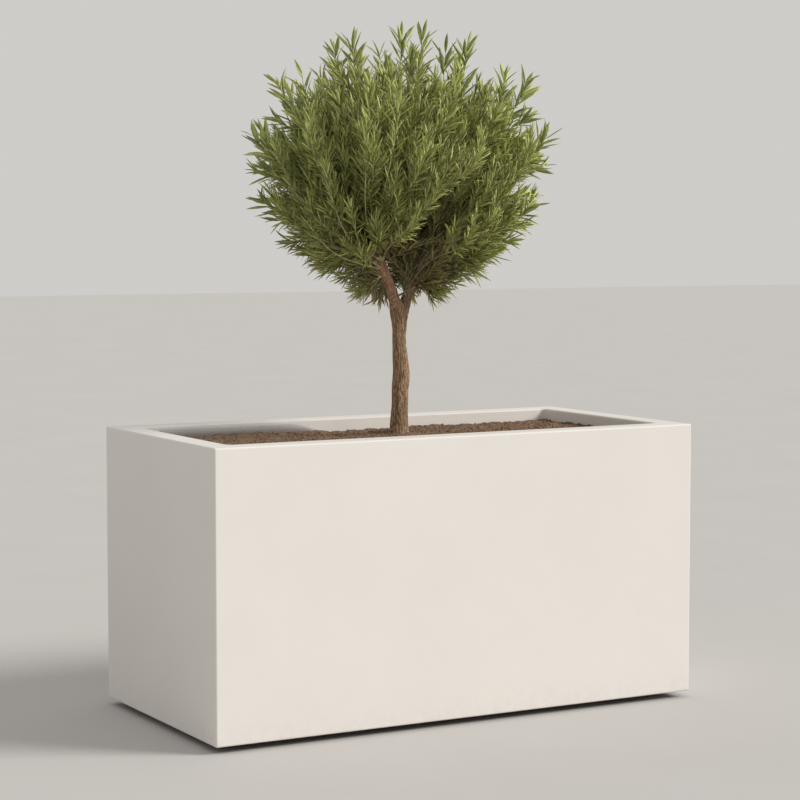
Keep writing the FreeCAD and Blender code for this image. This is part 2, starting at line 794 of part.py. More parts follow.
def make_leaves():
    """A leafy layer round a bare inside, with a plume at the top and rings of them that lean away from the fork.

    Every other ring starts on the opposite side.
    """
    body = doc.addObject("PartDesign::Body", "Leaves")
    revolve(body, crown_outline("0", "0"))
    add_plume(body, ("0", f"{CROWN_TOP} - top_plume_root"), ("0", f"{CROWN_TOP} + top_plume_rise"), "plume_half")
    for index, (ring, count) in enumerate(zip(PLUME_RINGS, PLUME_COUNTS)):
        side = 1 if index % 2 else -1
        root = (f"{side * PLUME_ROOT_SHARE} * {ring}_reach", f"{FORK} + {PLUME_ROOT_SHARE} * {ring}_height")
        tip = (f"{side} * {ring}_reach", f"{FORK} + {ring}_height")
        plume = add_plume(body, root, tip, "low_plume_half" if ring == "skirt_plume" else "plume_half")
        repeat_round(body, plume, count)
    revolve(body, crown_outline("leaf_layer", "crown_floor"), "PartDesign::Groove")
    return body


def make_tree():
    grow_wood(new_body("tree_trunk"))
    wood_room = doc.addObject("PartDesign::Body", "WoodRoom")
    grow_wood(wood_room, extra="limb_clearance")
    crown = doc.addObject("Part::Cut", "tree_crown")
    crown.Label = "tree_crown"
    crown.Base = make_leaves()
    crown.Tool = wood_room
    pieces.append(crown)


def make_planter():
    make_shell()
    make_base_panel()
    make_cleats()
    make_base_screws()
    for number_of, (x, y) in enumerate(drain_places(), start=1):
        make_drain_bush(f"drain_bush_{number_of}", x, y)
    for name, x, y in foot_places():
        make_foot(name, x, y)
    make_raised_floor()
    make_liner()
    make_drainage_mat()
    make_filter_fleece()
    make_soil()
    make_root_ball()
    make_tree()


def check_document():
    doc.recompute()
    failed = [item.Label for item in doc.Objects if {"Invalid", "Error"} & set(item.State)]
    failed += [item.Label for item in pieces if item.Shape.isNull() or not item.Shape.isValid()]
    if failed:
        raise RuntimeError(f"these did not build: {failed}")


def write_pieces():
    os.makedirs("parts", exist_ok=True)
    for item in pieces:
        item.Shape.exportStep(os.path.join("parts", f"{item.Label}.step"))
        box = item.Shape.BoundBox
        print(f"{item.Label}: {len(item.Shape.Solids)} solids, {item.Shape.Volume / 1000:.1f} cm3,",
              f"z {box.ZMin:.1f} to {box.ZMax:.1f}")


make_planter()
check_document()
write_pieces()
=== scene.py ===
"""Looks of the rectangular floor planter: matt moulded shell, soil, fleece and a small round-headed tree.

Metres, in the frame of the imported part: X along the planter, -Y to the front, Z up from the ground.
"""

import json
import math
import random

import bmesh
import bpy
from mathutils import Matrix, Quaternion, Vector, noise


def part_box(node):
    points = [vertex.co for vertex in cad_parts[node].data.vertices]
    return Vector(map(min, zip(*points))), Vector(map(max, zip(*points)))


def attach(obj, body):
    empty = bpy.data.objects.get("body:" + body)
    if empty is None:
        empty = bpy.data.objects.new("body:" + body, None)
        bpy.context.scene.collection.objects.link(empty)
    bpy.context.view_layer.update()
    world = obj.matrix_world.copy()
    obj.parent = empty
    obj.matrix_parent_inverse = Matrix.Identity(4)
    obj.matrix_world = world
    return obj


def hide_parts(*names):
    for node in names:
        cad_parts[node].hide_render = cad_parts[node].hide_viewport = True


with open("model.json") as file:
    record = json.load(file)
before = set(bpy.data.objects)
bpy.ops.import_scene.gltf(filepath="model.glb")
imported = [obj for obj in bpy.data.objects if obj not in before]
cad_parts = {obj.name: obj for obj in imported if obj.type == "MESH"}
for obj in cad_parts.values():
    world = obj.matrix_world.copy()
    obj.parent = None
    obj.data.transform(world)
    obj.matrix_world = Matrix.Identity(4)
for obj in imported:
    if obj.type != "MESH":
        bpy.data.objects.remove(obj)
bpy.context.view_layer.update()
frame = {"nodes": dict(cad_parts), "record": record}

# Camera and light
CAMERA_PLACE = Vector((-2.5082, -4.4859, 1.0824))
CAMERA_TURN = math.radians(-29.1928)
CAMERA_PITCH = math.radians(-4.3398)
CAMERA_LENS = 101.84
CAMERA_SIGHT = 100.0
SENSOR_WIDTH = 36.0
BACKGROUND = (0.62, 0.605, 0.585)
FLOOR_COLOUR = (0.56, 0.54, 0.51)
FLOOR_REACH = 30.0
WORLD_LIGHT = 0.58
KEY_FROM = Vector((0.70, -0.49, 0.52))
KEY_SPREAD = math.radians(24)
KEY_STRENGTH = 2.70
KEY_COLOUR = (1.0, 0.985, 0.965)

# Levels and edges read from the frame
SOIL_LOW, SOIL_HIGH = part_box("soil")
FLEECE_LOW, FLEECE_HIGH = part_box("filter_fleece")
_, LINER_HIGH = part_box("liner")
SOIL_TOP = SOIL_HIGH.z
LIP_DROP = 0.005
LIP_TOP = SOIL_TOP - LIP_DROP

# Soil
SOIL_STEP = 0.006
SOIL_FLEECE_GAP = 0.0012
SOIL_CORNER = 0.014
SOIL_LIP_GAP = 0.0004
SOIL_SEED = 11
SOIL_INSET = 0.017
SOIL_BACK_TURN = 0.03
SOIL_WAVES = [(0.0055, 7), (0.0045, 34), (0.0030, 95)]
MOUND_RISE = 0.012
MOUND_REACH = 0.085
CRUMB_MARGIN = 0.010
CRUMB_DENSITY = 10000.0
CRUMB_SIZES = 0.0025, 0.0115
CRUMB_KINDS = 4
CRUMB_FACING = 0.3
CRUMB_LUMPS = 0.72, 1.12
CRUMB_WIDTHS, CRUMB_HEIGHTS = (0.7, 1.0), (0.5, 0.8)

# Fleece
FLEECE_THICKNESS = 0.002
FLEECE_COLUMNS = 170
# Where the fleece shows above the soil at the back it is a grey band of painted shade on the back wall; it
# drops below the soil between the two places given here.
FLEECE_TRIM_START, FLEECE_TRIM_END = -0.175, -0.030
FLEECE_HIDDEN_DROP = 0.009
FLEECE_LEAN = 0.009
FLEECE_STEPS = 8
FLEECE_EDGE_DROP = 0.002
FLEECE_RAGGED = [(0.0010, 14, 0.5), (0.0004, 110, 3.5)]
FLEECE_WAVE, FLEECE_WAVE_PITCH = 0.002, 16
FLEECE_LEAST = 0.0004
LINER_TAPER = math.radians(3)

# Wood: x, y, height above the soil and radius at each station
TRUNK = [
    (-0.004, 0.000, -0.020, 0.0320),
    (-0.004, 0.000, 0.002, 0.0265),
    (-0.004, 0.000, 0.020, 0.0220),
    (-0.003, 0.000, 0.060, 0.0198),
    (-0.001, 0.000, 0.110, 0.0196),
    (0.001, 0.000, 0.145, 0.0197),
    (-0.002, 0.000, 0.185, 0.0172),
    (-0.004, 0.000, 0.225, 0.0160),
    (-0.004, 0.000, 0.258, 0.0180),
    (-0.008, -0.001, 0.286, 0.0185),
    (-0.017, -0.004, 0.308, 0.0150),
]
LEFT_LIMB = [
    (-0.010, -0.002, 0.285, 0.0150),
    (-0.026, -0.008, 0.325, 0.0128),
    (-0.047, -0.015, 0.368, 0.0117),
    (-0.080, -0.025, 0.432, 0.0092),
    (-0.120, -0.035, 0.515, 0.0060),
]
RIGHT_LIMB = [
    (-0.001, 0.000, 0.245, 0.0110),
    (0.005, 0.001, 0.280, 0.0140),
    (0.018, 0.005, 0.312, 0.0128),
    (0.042, 0.013, 0.360, 0.0105),
    (0.080, 0.024, 0.440, 0.0082),
    (0.120, 0.035, 0.515, 0.0060),
]
WOOD_VOXEL = 0.0016
WOOD_SIDES = 20
WOOD_STEPS = 8
BARK_ACROSS, BARK_ALONG = 210, 24
BARK_RIDGE, BARK_FADE = 0.72, 0.28
WANDER_ACROSS, WANDER_ALONG, WANDER_SHARE = 60, 40, 0.5
LIMB_SLIMMER, LIMB_SLIM_REACH = 0.6, 0.2
CRACK_DEPTH = 0.0013
LUMP_HEIGHT = 0.0014
LUMP_ACROSS, LUMP_ALONG = 45, 22

# The fork, from which the crown is measured
FORK_HEIGHT = 0.305
FORK = Vector((0.0, 0.0, SOIL_TOP + FORK_HEIGHT))

# Rings of plumes: count, azimuth of the first, the tips' distance from the axis and height above the fork
PLUME_RINGS = [(1, 0, 0.0, 0.636), (6, 196, 0.168, 0.616), (11, 0, 0.302, 0.530), (15, 180, 0.358, 0.405),
               (14, 0, 0.340, 0.250), (10, 180, 0.248, 0.132), (8, 0, 0.135, 0.035)]
PLUME_TURN_JITTER, PLUME_LENGTHS = 0.07, (0.96, 1.0)
FILL_SHARE = 0.90
FILL_COUNT = 130
FILL_TURN_JITTER, FILL_LENGTHS = 0.2, (0.92, 1.0)
CROWN_LIMIT = math.radians(86)
CROWN_SEED = 5
BOUGH_COUNT = 10
GOLDEN_ANGLE = math.radians(137.508)

# The side of the crown where the limbs and the fork are open to view
OPEN_SIDE = math.radians(241)
OPEN_HALF = math.radians(62)
OPEN_LEAN = math.radians(52)
OPEN_RAGGED = -0.05, 0.22
OPEN_FROM, OPEN_FADE = math.radians(22), math.radians(20)
OPEN_REACH, OPEN_EDGE = math.radians(80), math.radians(25)
OPEN_RISE = math.radians(46)

# Shoots: thickness at the base and share without leaves of each kind
MAIN_SHOOT = 0.0034, 0.10
SIDE_SHOOT = 0.0017, 0.06
INNER_SHOOT = 0.0016, 0.12
PALE_TWIG = 0.0019, 0.62
TIP_GIRTH, GIRTH_TAPER = 0.0007, 0.8
SHOOT_POINTS, SIDE_POINTS = 18, 9
SHOOT_START, SHOOT_CLIMB, SHOOT_START_JITTER = 0.50, 0.40, (-0.06, 0.08)
SHOOT_DROOP, SHOOT_LIFT, SHOOT_LIFT_RATE = math.radians(4), math.radians(-6), 3
SHOOT_LEAN_JITTER = 0.08
SHOOT_UPWARD, SHOOT_ONWARD = 0.4, 1.5
SHOOT_HANDLES = 0.36, 0.30
LIMB_DIVIDE = 0.02
PLUME_SIDE_COUNT = 8
FILL_SIDE_COUNT = 6
SIDE_SHARES = 0.14, 0.76
SIDE_SPREAD = 30, 46
SIDE_LENGTH, SIDE_REMAINDER, SIDE_LENGTHS = 0.19, 0.62, (0.8, 1.1)
SIDE_SWEEP = 1.1
SIDE_ONWARD, SIDE_UPWARD = 0.8, 0.15
SIDE_HANDLES, SIDE_BEND = (0.35, 0.70), (0.62, 0.38)

# Inner shoots: limb, how many, where the first and last start along it, and their spread in degrees
INNER_SHOOTS = [
    (LEFT_LIMB, 40, 0.50, 0.95, 62),
    (RIGHT_LIMB, 40, 0.46, 0.90, 62),
    (RIGHT_LIMB, 12, 0.30, 0.36, 14),
]
INNER_LENGTHS = 0.13, 0.24
INNER_HANDLES = 0.2, 0.7

# Pale twigs: lean and azimuth of each in degrees
PALE_TWIGS = [(52, 178), (44, 188), (56, 196), (38, 204), (48, 212), (55, 220), (40, 228), (34, 240)]
PALE_STARTS = 0.55, 0.75
PALE_BULGE, PALE_RISE = math.radians(26), math.radians(28)
PALE_HANDLES = 0.50, 0.34
PALE_VIGOUR = 0.2

# Leaves
LEAF_BEYOND = 0.030
LEAF_SPACING = 0.0032
FINE_LEAF, BOLD_LEAF = 0.042, 0.066
FINE_LEAF_WIDTH, BOLD_LEAF_WIDTH = 0.100, 0.165
LEAF_KEEL, LEAF_THICKNESS = 0.35, 0.012
LEAF_BENDS = [(0.02, 0.1), (0.10, 0.5), (0.18, -0.5), (-0.06, -0.2)]
LEAF_SWELL = [(0.0, 0.70), (0.45, 1.0), (0.85, 0.95), (1.0, 0.62)]
LEAF_SIZES = 0.78, 1.12
LEAF_BARE = -0.02, 0.10
LEAF_OPENING, BOLD_OPENING = (math.radians(34), math.radians(18)), math.radians(13)
LEAF_TURN_JITTER, LEAF_OPENING_JITTER, LEAF_ROLL = 0.5, 0.16, 0.6
BOLD_THINNING = 0.54
BOLD_FROM = 0.4
BOLD_DEPTH, BOLD_FADE = 0.56, 0.20
VIGOUR_FROM, VIGOUR_FADE = math.radians(50), math.radians(25)
LOW_LOSS, OPEN_LOSS, SIDE_VIGOUR = 0.5, 0.8, 0.45
YOUNG_ALONG, YOUNG_OUTER = (0.25, 0.9), (0.60, 0.95)
WITHERED_OUTER = 0.50, 0.24


# Small helpers

def new_object(name, data):
    made = bpy.data.objects.new(name, data)
    bpy.context.scene.collection.objects.link(made)
    return made


def mesh_from(name, points, faces=(), edges=()):
    mesh = bpy.data.meshes.new(name)
    mesh.from_pydata([tuple(point) for point in points], edges, faces)
    mesh.update()
    return mesh


def baked(source, name):
    """A plain mesh object with the source's modifiers in its mesh; the source goes."""
    depsgraph = bpy.context.evaluated_depsgraph_get()
    mesh = bpy.data.meshes.new_from_object(source.evaluated_get(depsgraph), depsgraph=depsgraph)
    bpy.data.objects.remove(source)
    mesh.name = name
    return new_object(name, mesh)


def settle(piece, body, slot, *replaced):
    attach(piece, body)
    if replaced:
        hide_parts(*replaced)


def store(mesh, name, values):
    """A number for each point of the mesh, under a name that materials and trees read."""
    mesh.attributes.new(name, "FLOAT", "POINT").data.foreach_set("value", values)


def blend_between(low, high, share):
    return low + (high - low) * share


def clamp(value):
    return min(1.0, max(0.0, value))


def fill_inputs(tree, node, values):
    for socket, value in values.items():
        if isinstance(value, bpy.types.NodeSocket):
            tree.links.new(value, node.inputs[socket])
        else:
            node.inputs[socket].default_value = value


def add_node(tree, kind, values=None, **settings):
    """A node with its settings, and its inputs set to numbers or linked to other nodes' outputs."""
    node = tree.nodes.new(kind)
    for name, setting in settings.items():
        setattr(node, name, setting)
    fill_inputs(tree, node, values or {})
    return node


def math_node(tree, operation, first, second=0.0, third=0.0):
    inputs = {0: first, 1: second, 2: third}
    return add_node(tree, "ShaderNodeMath", inputs, operation=operation).outputs[0]


def ramp_value(tree, value, low, high, to_low=0.0, to_high=1.0):
    inputs = {"Value": value, "From Min": low, "From Max": high, "To Min": to_low, "To Max": to_high}
    return add_node(tree, "ShaderNodeMapRange", inputs).outputs["Result"]


def mix_colours(tree, share, first, second, blend_type="MIX"):
    return add_node(tree, "ShaderNodeMix", {0: share, 6: first, 7: second}, data_type="RGBA",
                    blend_type=blend_type).outputs[2]


def opaque(colour):
    return (*colour, 1.0)


# Shader groups that several finishes share

def shader_group(name, inputs, outputs):
    """An empty group with named sockets; returns the tree, its input node and its output node."""
    tree = bpy.data.node_groups.new(name, "ShaderNodeTree")
    for label, kind in inputs.items():
        tree.interface.new_socket(label, in_out="INPUT", socket_type=kind)
    for label, kind in outputs.items():
        tree.interface.new_socket(label, in_out="OUTPUT", socket_type=kind)
    return tree, tree.nodes.new("NodeGroupInput"), tree.nodes.new("NodeGroupOutput")


def make_mottle_group():
    """Two colours in soft patches, and the patches as a mask."""
    tree, given, made = shader_group(
        "mottle",
        {"Vector": "NodeSocketVector", "Scale": "NodeSocketFloat", "Dark": "NodeSocketColor",
         "Light": "NodeSocketColor"},
        {"Color": "NodeSocketColor", "Mask": "NodeSocketFloat"},
    )
    patches = add_node(tree, "ShaderNodeTexNoise", {
        "Vector": given.outputs["Vector"], "Scale": given.outputs["Scale"],
        "Detail": 6.0, "Roughness": 0.62})
    mask = ramp_value(tree, patches.outputs["Fac"], 0.32, 0.68)
    colour = mix_colours(tree, mask, given.outputs["Dark"], given.outputs["Light"])
    tree.links.new(colour, made.inputs["Color"])
    tree.links.new(mask, made.inputs["Mask"])
    return tree


def make_relief_group():
    """Height of a coarse unevenness with a fine one on it."""
    tree, given, made = shader_group(
        "relief",
        {"Vector": "NodeSocketVector", "Coarse": "NodeSocketFloat", "Fine": "NodeSocketFloat",
         "Fine share": "NodeSocketFloat"},
        {"Height": "NodeSocketFloat"},
    )
    layers = []
    for scale in ("Coarse", "Fine"):
        layer = add_node(tree, "ShaderNodeTexNoise", {
            "Vector": given.outputs["Vector"], "Scale": given.outputs[scale], "Detail": 3.0})
        layers.append(layer.outputs["Fac"])
    fine = math_node(tree, "MULTIPLY", layers[1], given.outputs["Fine share"])
    tree.links.new(math_node(tree, "ADD", layers[0], fine), made.inputs["Height"])
    return tree


def make_dust_group():
    """Dust and splashed earth that fade out above a height."""
    tree, given, made = shader_group(
        "settled_dust",
        {"Vector": "NodeSocketVector", "Color": "NodeSocketColor", "Dust": "NodeSocketColor",
         "Reach": "NodeSocketFloat", "Amount": "NodeSocketFloat"},
        {"Color": "NodeSocketColor"},
    )
    height = add_node(tree, "ShaderNodeSeparateXYZ", {0: given.outputs["Vector"]}).outputs["Z"]
    fading = math_node(tree, "SUBTRACT", 1.0, math_node(tree, "DIVIDE", height, given.outputs["Reach"]))
    fading = math_node(tree, "MAXIMUM", fading, 0.0)
    specks = add_node(tree, "ShaderNodeTexNoise", {
        "Vector": given.outputs["Vector"], "Scale": 45.0, "Detail": 8.0, "Roughness": 0.7})
    spots = ramp_value(tree, specks.outputs["Fac"], 0.40, 0.75)
    share = math_node(tree, "MULTIPLY", math_node(tree, "POWER", fading, 2.0), spots)
    share = math_node(tree, "MULTIPLY", share, given.outputs["Amount"])
    colour = mix_colours(tree, share, given.outputs["Color"], given.outputs["Dust"])
    tree.links.new(colour, made.inputs["Color"])
    return tree


def make_grain_group():
    """Wood grain, bark strands or brush marks: drawn-out streaks as colour and as height."""
    tree, given, made = shader_group(
        "grain",
        {"Vector": "NodeSocketVector", "Stretch": "NodeSocketVector", "Dark": "NodeSocketColor",
         "Light": "NodeSocketColor"},
        {"Color": "NodeSocketColor", "Height": "NodeSocketFloat"},
    )
    drawn = add_node(tree, "ShaderNodeMapping", {"Vector": given.outputs["Vector"],
                                                 "Scale": given.outputs["Stretch"]})
    streaks = add_node(tree, "ShaderNodeTexNoise", {
        "Vector": drawn.outputs["Vector"], "Scale": 1.0,
        "Detail": 7.0, "Roughness": 0.65, "Distortion": 0.4})
    mask = ramp_value(tree, streaks.outputs["Fac"], 0.30, 0.70)
    colour = mix_colours(tree, mask, given.outputs["Dark"], given.outputs["Light"])
    tree.links.new(colour, made.inputs["Color"])
    tree.links.new(mask, made.inputs["Height"])
    return tree


MOTTLE = make_mottle_group()
RELIEF = make_relief_group()
DUST = make_dust_group()
GRAIN = make_grain_group()
EARTH_DUST = opaque((0.36, 0.30, 0.24))


# Finishes

class Finish:
    """A material with its shader, its object coordinates and short ways to feed them."""

    def __init__(self, name, **constants):
        self.material = bpy.data.materials.new(name)
        self.material.use_nodes = True
        self.tree = self.material.node_tree
        self.shader = self.tree.nodes["Principled BSDF"]
        self.place = add_node(self.tree, "ShaderNodeTexCoord").outputs["Object"]
        for socket, value in constants.items():
            self.shader.inputs[socket.replace("_", " ")].default_value = value

    def group(self, tree, **values):
        node = add_node(self.tree, "ShaderNodeGroup", node_tree=tree)
        inputs = {socket.replace("_", " "): value for socket, value in values.items()}
        fill_inputs(self.tree, node, {"Vector": self.place, **inputs})
        return node

    def feed(self, socket, value):
        self.tree.links.new(value, self.shader.inputs[socket])

    def raise_surface(self, height, depth, strength=1.0):
        bump = add_node(self.tree, "ShaderNodeBump", {
            "Height": height, "Distance": depth, "Strength": strength})
        self.feed("Normal", bump.outputs["Normal"])

    def attribute(self, name):
        return add_node(self.tree, "ShaderNodeAttribute", attribute_name=name).outputs["Fac"]


def gel_coat():
    """The shell: matt off-white with a faint stipple, soft clouding and dust near the ground."""
    finish = Finish("gel_coat", Specular_IOR_Level=0.35)
    clouds = finish.group(MOTTLE, Scale=3.5, Dark=opaque((0.768, 0.728, 0.678)),
                          Light=opaque((0.792, 0.752, 0.700)))
    dusty = finish.group(DUST, Color=clouds.outputs["Color"], Dust=EARTH_DUST, Reach=0.11, Amount=0.24)
    finish.feed("Base Color", dusty.outputs["Color"])
    finish.feed("Roughness", ramp_value(finish.tree, clouds.outputs["Mask"], 0.0, 1.0, 0.56, 0.62))
    stipple = finish.group(RELIEF, Coarse=9.0, Fine=900.0, Fine_share=0.5)
    finish.raise_surface(stipple.outputs["Height"], 0.0004, 0.35)
    return finish.material


def moulded(name, dark, light, scale, roughness, coarse, fine, depth):
    """A moulded or pressed plastic or rubber piece with a slight unevenness."""
    finish = Finish(name)
    patches = finish.group(MOTTLE, Scale=scale, Dark=opaque(dark), Light=opaque(light))
    dusty = finish.group(DUST, Color=patches.outputs["Color"], Dust=EARTH_DUST, Reach=0.05, Amount=0.5)
    finish.feed("Base Color", dusty.outputs["Color"])
    finish.feed("Roughness", ramp_value(finish.tree, patches.outputs["Mask"], 0.0, 1.0, *roughness))
    skin = finish.group(RELIEF, Coarse=coarse, Fine=fine, Fine_share=0.4)
    finish.raise_surface(skin.outputs["Height"], depth, 0.6)
    return finish.material


def metal(name, dark, light, stretch, roughness):
    """Bare or plated metal with fine marks."""
    finish = Finish(name, Metallic=1.0)
    marks = finish.group(GRAIN, Stretch=stretch, Dark=opaque(dark), Light=opaque(light))
    finish.feed("Base Color", marks.outputs["Color"])
    finish.feed("Roughness", ramp_value(finish.tree, marks.outputs["Height"], 0.0, 1.0, *roughness))
    finish.raise_surface(marks.outputs["Height"], 0.00008, 0.5)
    return finish.material


def timber(name, dark, light, stretch, roughness, depth):
    """Sawn or faced wood with its grain along X."""
    finish = Finish(name)
    grain = finish.group(GRAIN, Stretch=stretch, Dark=opaque(dark), Light=opaque(light))
    finish.feed("Base Color", grain.outputs["Color"])
    finish.feed("Roughness", ramp_value(finish.tree, grain.outputs["Height"], 0.0, 1.0, *roughness))
    finish.raise_surface(grain.outputs["Height"], depth, 0.7)
    return finish.material


def felt():
    """Needled grey fleece: fibres in every direction, earth along the soil, and an upper edge that fades to
    pale as the painted soft edge of shade.
    """
    finish = Finish("needled_felt", Roughness=0.95, Sheen_Weight=0.15)
    fibres = finish.group(MOTTLE, Scale=420.0, Dark=opaque((0.190, 0.175, 0.163)),
                          Light=opaque((0.320, 0.300, 0.280)))
    height = add_node(finish.tree, "ShaderNodeSeparateXYZ", {0: finish.place}).outputs["Z"]
    soiled = ramp_value(finish.tree, height, SOIL_TOP + 0.012, SOIL_TOP, 0.0, 0.5)
    earth = mix_colours(finish.tree, soiled, fibres.outputs["Color"], opaque((0.20, 0.14, 0.10)))
    # Painted shade: the band that shows above the soil stands in for shade on the back wall, and it fades to
    # pale towards its top as the soft edge of that shade.
    shade_edge_fade = ramp_value(finish.tree, finish.attribute("rise"), 0.45, 1.0, 0.0, 0.6)
    finish.feed("Base Color", mix_colours(finish.tree, shade_edge_fade, earth, opaque((0.60, 0.56, 0.51))))
    fuzz = finish.group(RELIEF, Coarse=160.0, Fine=1400.0, Fine_share=0.8)
    finish.raise_surface(fuzz.outputs["Height"], 0.0012)
    return finish.material


def earth():
    """Dry brown planting mix in mottled clods with light and dark grit."""
    finish = Finish("planting_mix", Roughness=0.96, Specular_IOR_Level=0.2)
    clods = finish.group(MOTTLE, Scale=60.0, Dark=opaque((0.120, 0.072, 0.040)),
                          Light=opaque((0.270, 0.170, 0.102)))
    grit = finish.group(MOTTLE, Scale=300.0, Dark=opaque((0.045, 0.026, 0.014)),
                          Light=opaque((0.520, 0.350, 0.230)))
    finish.feed("Base Color", mix_colours(finish.tree, 0.5, clods.outputs["Color"], grit.outputs["Color"]))
    lumps = finish.group(RELIEF, Coarse=140.0, Fine=620.0, Fine_share=0.6)
    finish.raise_surface(lumps.outputs["Height"], 0.004)
    return finish.material


def bark():
    """Fissured bark: pale ridges, dark cracks, and on the limbs a redder tone that is also lighter there as
    painted light.
    """
    finish = Finish("fissured_bark", Roughness=0.9, Specular_IOR_Level=0.25)
    strands = finish.group(GRAIN, Stretch=(420.0, 420.0, 85.0), Dark=opaque((0.030, 0.016, 0.008)),
                           Light=opaque((0.690, 0.455, 0.265)))
    height = add_node(finish.tree, "ShaderNodeSeparateXYZ", {0: finish.place}).outputs["Z"]
    # Above the fork the bark turns redder and lighter; the lightening is painted light on the limbs, which
    # sit in the crown's shade.
    limb_tone_and_light_share = ramp_value(finish.tree, height, FORK.z - 0.03, FORK.z + 0.05, 0.0, 0.55)
    redder_lit_limb_colour = mix_colours(finish.tree, limb_tone_and_light_share, strands.outputs["Color"], opaque((0.560, 0.320, 0.200)))
    cracks = ramp_value(finish.tree, finish.attribute("crack"), 0.0, 1.0, 0.0, 0.55)
    finish.feed("Base Color", mix_colours(finish.tree, cracks, redder_lit_limb_colour, opaque((0.050, 0.034, 0.022))))
    rough = finish.group(RELIEF, Coarse=260.0, Fine=900.0, Fine_share=0.6)
    finish.raise_surface(rough.outputs["Height"], 0.0025, 0.9)
    return finish.material


def twig_bark():
    """Thin shoots: pale brown wood that turns green towards the leafy end."""
    finish = Finish("twig_bark", Roughness=0.7)
    wood = finish.group(MOTTLE, Scale=150.0, Dark=opaque((0.380, 0.310, 0.170)),
                          Light=opaque((0.720, 0.660, 0.420)))
    young = ramp_value(finish.tree, finish.attribute("along"), 0.0, 0.8)
    colour = mix_colours(finish.tree, young, wood.outputs["Color"], opaque((0.440, 0.450, 0.190)))
    finish.feed("Base Color", colour)
    ridges = finish.group(RELIEF, Coarse=300.0, Fine=900.0, Fine_share=0.5)
    finish.raise_surface(ridges.outputs["Height"], 0.0005)
    return finish.material


def leaf_green():
    """Narrow leaves: olive, yellower when young, brown near the fork, with a pale midrib and underside."""
    finish = Finish("leaf_green", Specular_IOR_Level=0.4)
    tree = finish.tree
    tone = finish.attribute("tone")
    old = mix_colours(tree, tone, opaque((0.125, 0.140, 0.020)), opaque((0.720, 0.750, 0.235)))
    young = mix_colours(tree, tone, opaque((0.240, 0.285, 0.042)), opaque((0.580, 0.630, 0.185)))
    green = mix_colours(tree, finish.attribute("youth"), old, young)
    brown = mix_colours(tree, tone, opaque((0.170, 0.128, 0.044)), opaque((0.480, 0.385, 0.160)))
    green = mix_colours(tree, finish.attribute("withered"), green, brown)
    rib = ramp_value(tree, finish.attribute("across"), 0.0, 0.30, 0.55, 0.0)
    green = mix_colours(tree, rib, green, opaque((0.540, 0.560, 0.270)))
    under = ramp_value(tree, finish.attribute("under"), 0.0, 1.0, 0.0, 0.55)
    green = mix_colours(tree, under, green, opaque((0.380, 0.410, 0.200)))
    finish.feed("Base Color", green)
    finish.feed("Roughness", ramp_value(tree, tone, 0.0, 1.0, 0.42, 0.62))
    return finish.material


FINISHES = {
    "shell": gel_coat(),
    "panel": timber("film_faced_ply", (0.075, 0.045, 0.028), (0.120, 0.075, 0.045), (9.0, 160.0, 160.0),
                    (0.40, 0.55), 0.0002),
    "cleats": timber("sawn_softwood", (0.400, 0.275, 0.150), (0.620, 0.470, 0.290), (5.0, 130.0, 130.0),
                     (0.65, 0.85), 0.0008),
    "screws": metal("stainless", (0.50, 0.50, 0.49), (0.66, 0.66, 0.65), (300.0, 300.0, 300.0),
                    (0.25, 0.40)),
    "bushes": moulded("black_nylon", (0.018, 0.018, 0.018), (0.032, 0.032, 0.031), 60.0, (0.45, 0.60),
                      120.0, 900.0, 0.0002),
    "inserts": metal("turned_brass", (0.58, 0.41, 0.17), (0.76, 0.57, 0.28), (40.0, 40.0, 900.0),
                     (0.25, 0.40)),
    "pads": moulded("foot_rubber", (0.020, 0.020, 0.020), (0.045, 0.044, 0.042), 45.0, (0.75, 0.92),
                    90.0, 700.0, 0.0003),
    "stems": metal("zinc_plate", (0.46, 0.47, 0.48), (0.64, 0.65, 0.66), (60.0, 60.0, 500.0),
                   (0.30, 0.48)),
    "ledge": metal("mill_aluminium", (0.58, 0.59, 0.60), (0.74, 0.75, 0.76), (6.0, 400.0, 400.0),
                   (0.35, 0.50)),
    "liner": moulded("liner_plastic", (0.028, 0.028, 0.028), (0.036, 0.036, 0.035), 18.0, (0.56, 0.64),
                     60.0, 500.0, 0.0004),
    "mat": moulded("pressed_sheet", (0.030, 0.032, 0.033), (0.055, 0.057, 0.058), 25.0, (0.40, 0.60),
                   80.0, 600.0, 0.0003),
    "fleece": felt(),
    "soil": earth(),
    "bark": bark(),
    "leaves": leaf_green(),
}
TWIG_FINISH = twig_bark()


def dress_cad_nodes():
    for part in frame["record"]["subparts"]:
        for socket in frame["nodes"][part["node"]].material_slots:
            socket.material = FINISHES[part["material_slot"]]


# Soil

def soil_rise(x, y):
    """Height of the soil over its level: low heaps, clods and grit, and a mound round the trunk."""
    rise = 0.0
    for number, (height, pitch) in enumerate(SOIL_WAVES, 1):
        rise += height * noise.noise(Vector((pitch * x, pitch * y, number * SOIL_SEED)))
    return rise + MOUND_RISE * math.exp(-((x * x + y * y) / MOUND_REACH ** 2))


def soil_back(x):
    """The soil's back edge: in front of the fleece where that shows, and out to the shell beyond it."""
    share = clamp((x - FLEECE_TRIM_END) / SOIL_BACK_TURN)
    behind = FLEECE_HIGH.y - FLEECE_THICKNESS - SOIL_FLEECE_GAP
    return blend_between(behind, SOIL_HIGH.y, share)


def inside_corner(x, y):
    """A point of the soil's edge moved in to the rounded corner of the mouth."""
    over_x = abs(x) - (SOIL_HIGH.x - SOIL_CORNER)
    over_y = abs(y) - (SOIL_HIGH.y - SOIL_CORNER)
    if over_x <= 0 or over_y <= 0:
        return x, y
    shrink = max(over_x, over_y) / math.hypot(over_x, over_y)
    x_in = math.copysign(abs(x) - over_x * (1 - shrink), x)
    y_in = math.copysign(abs(y) - over_y * (1 - shrink), y)
    return x_in, y_in


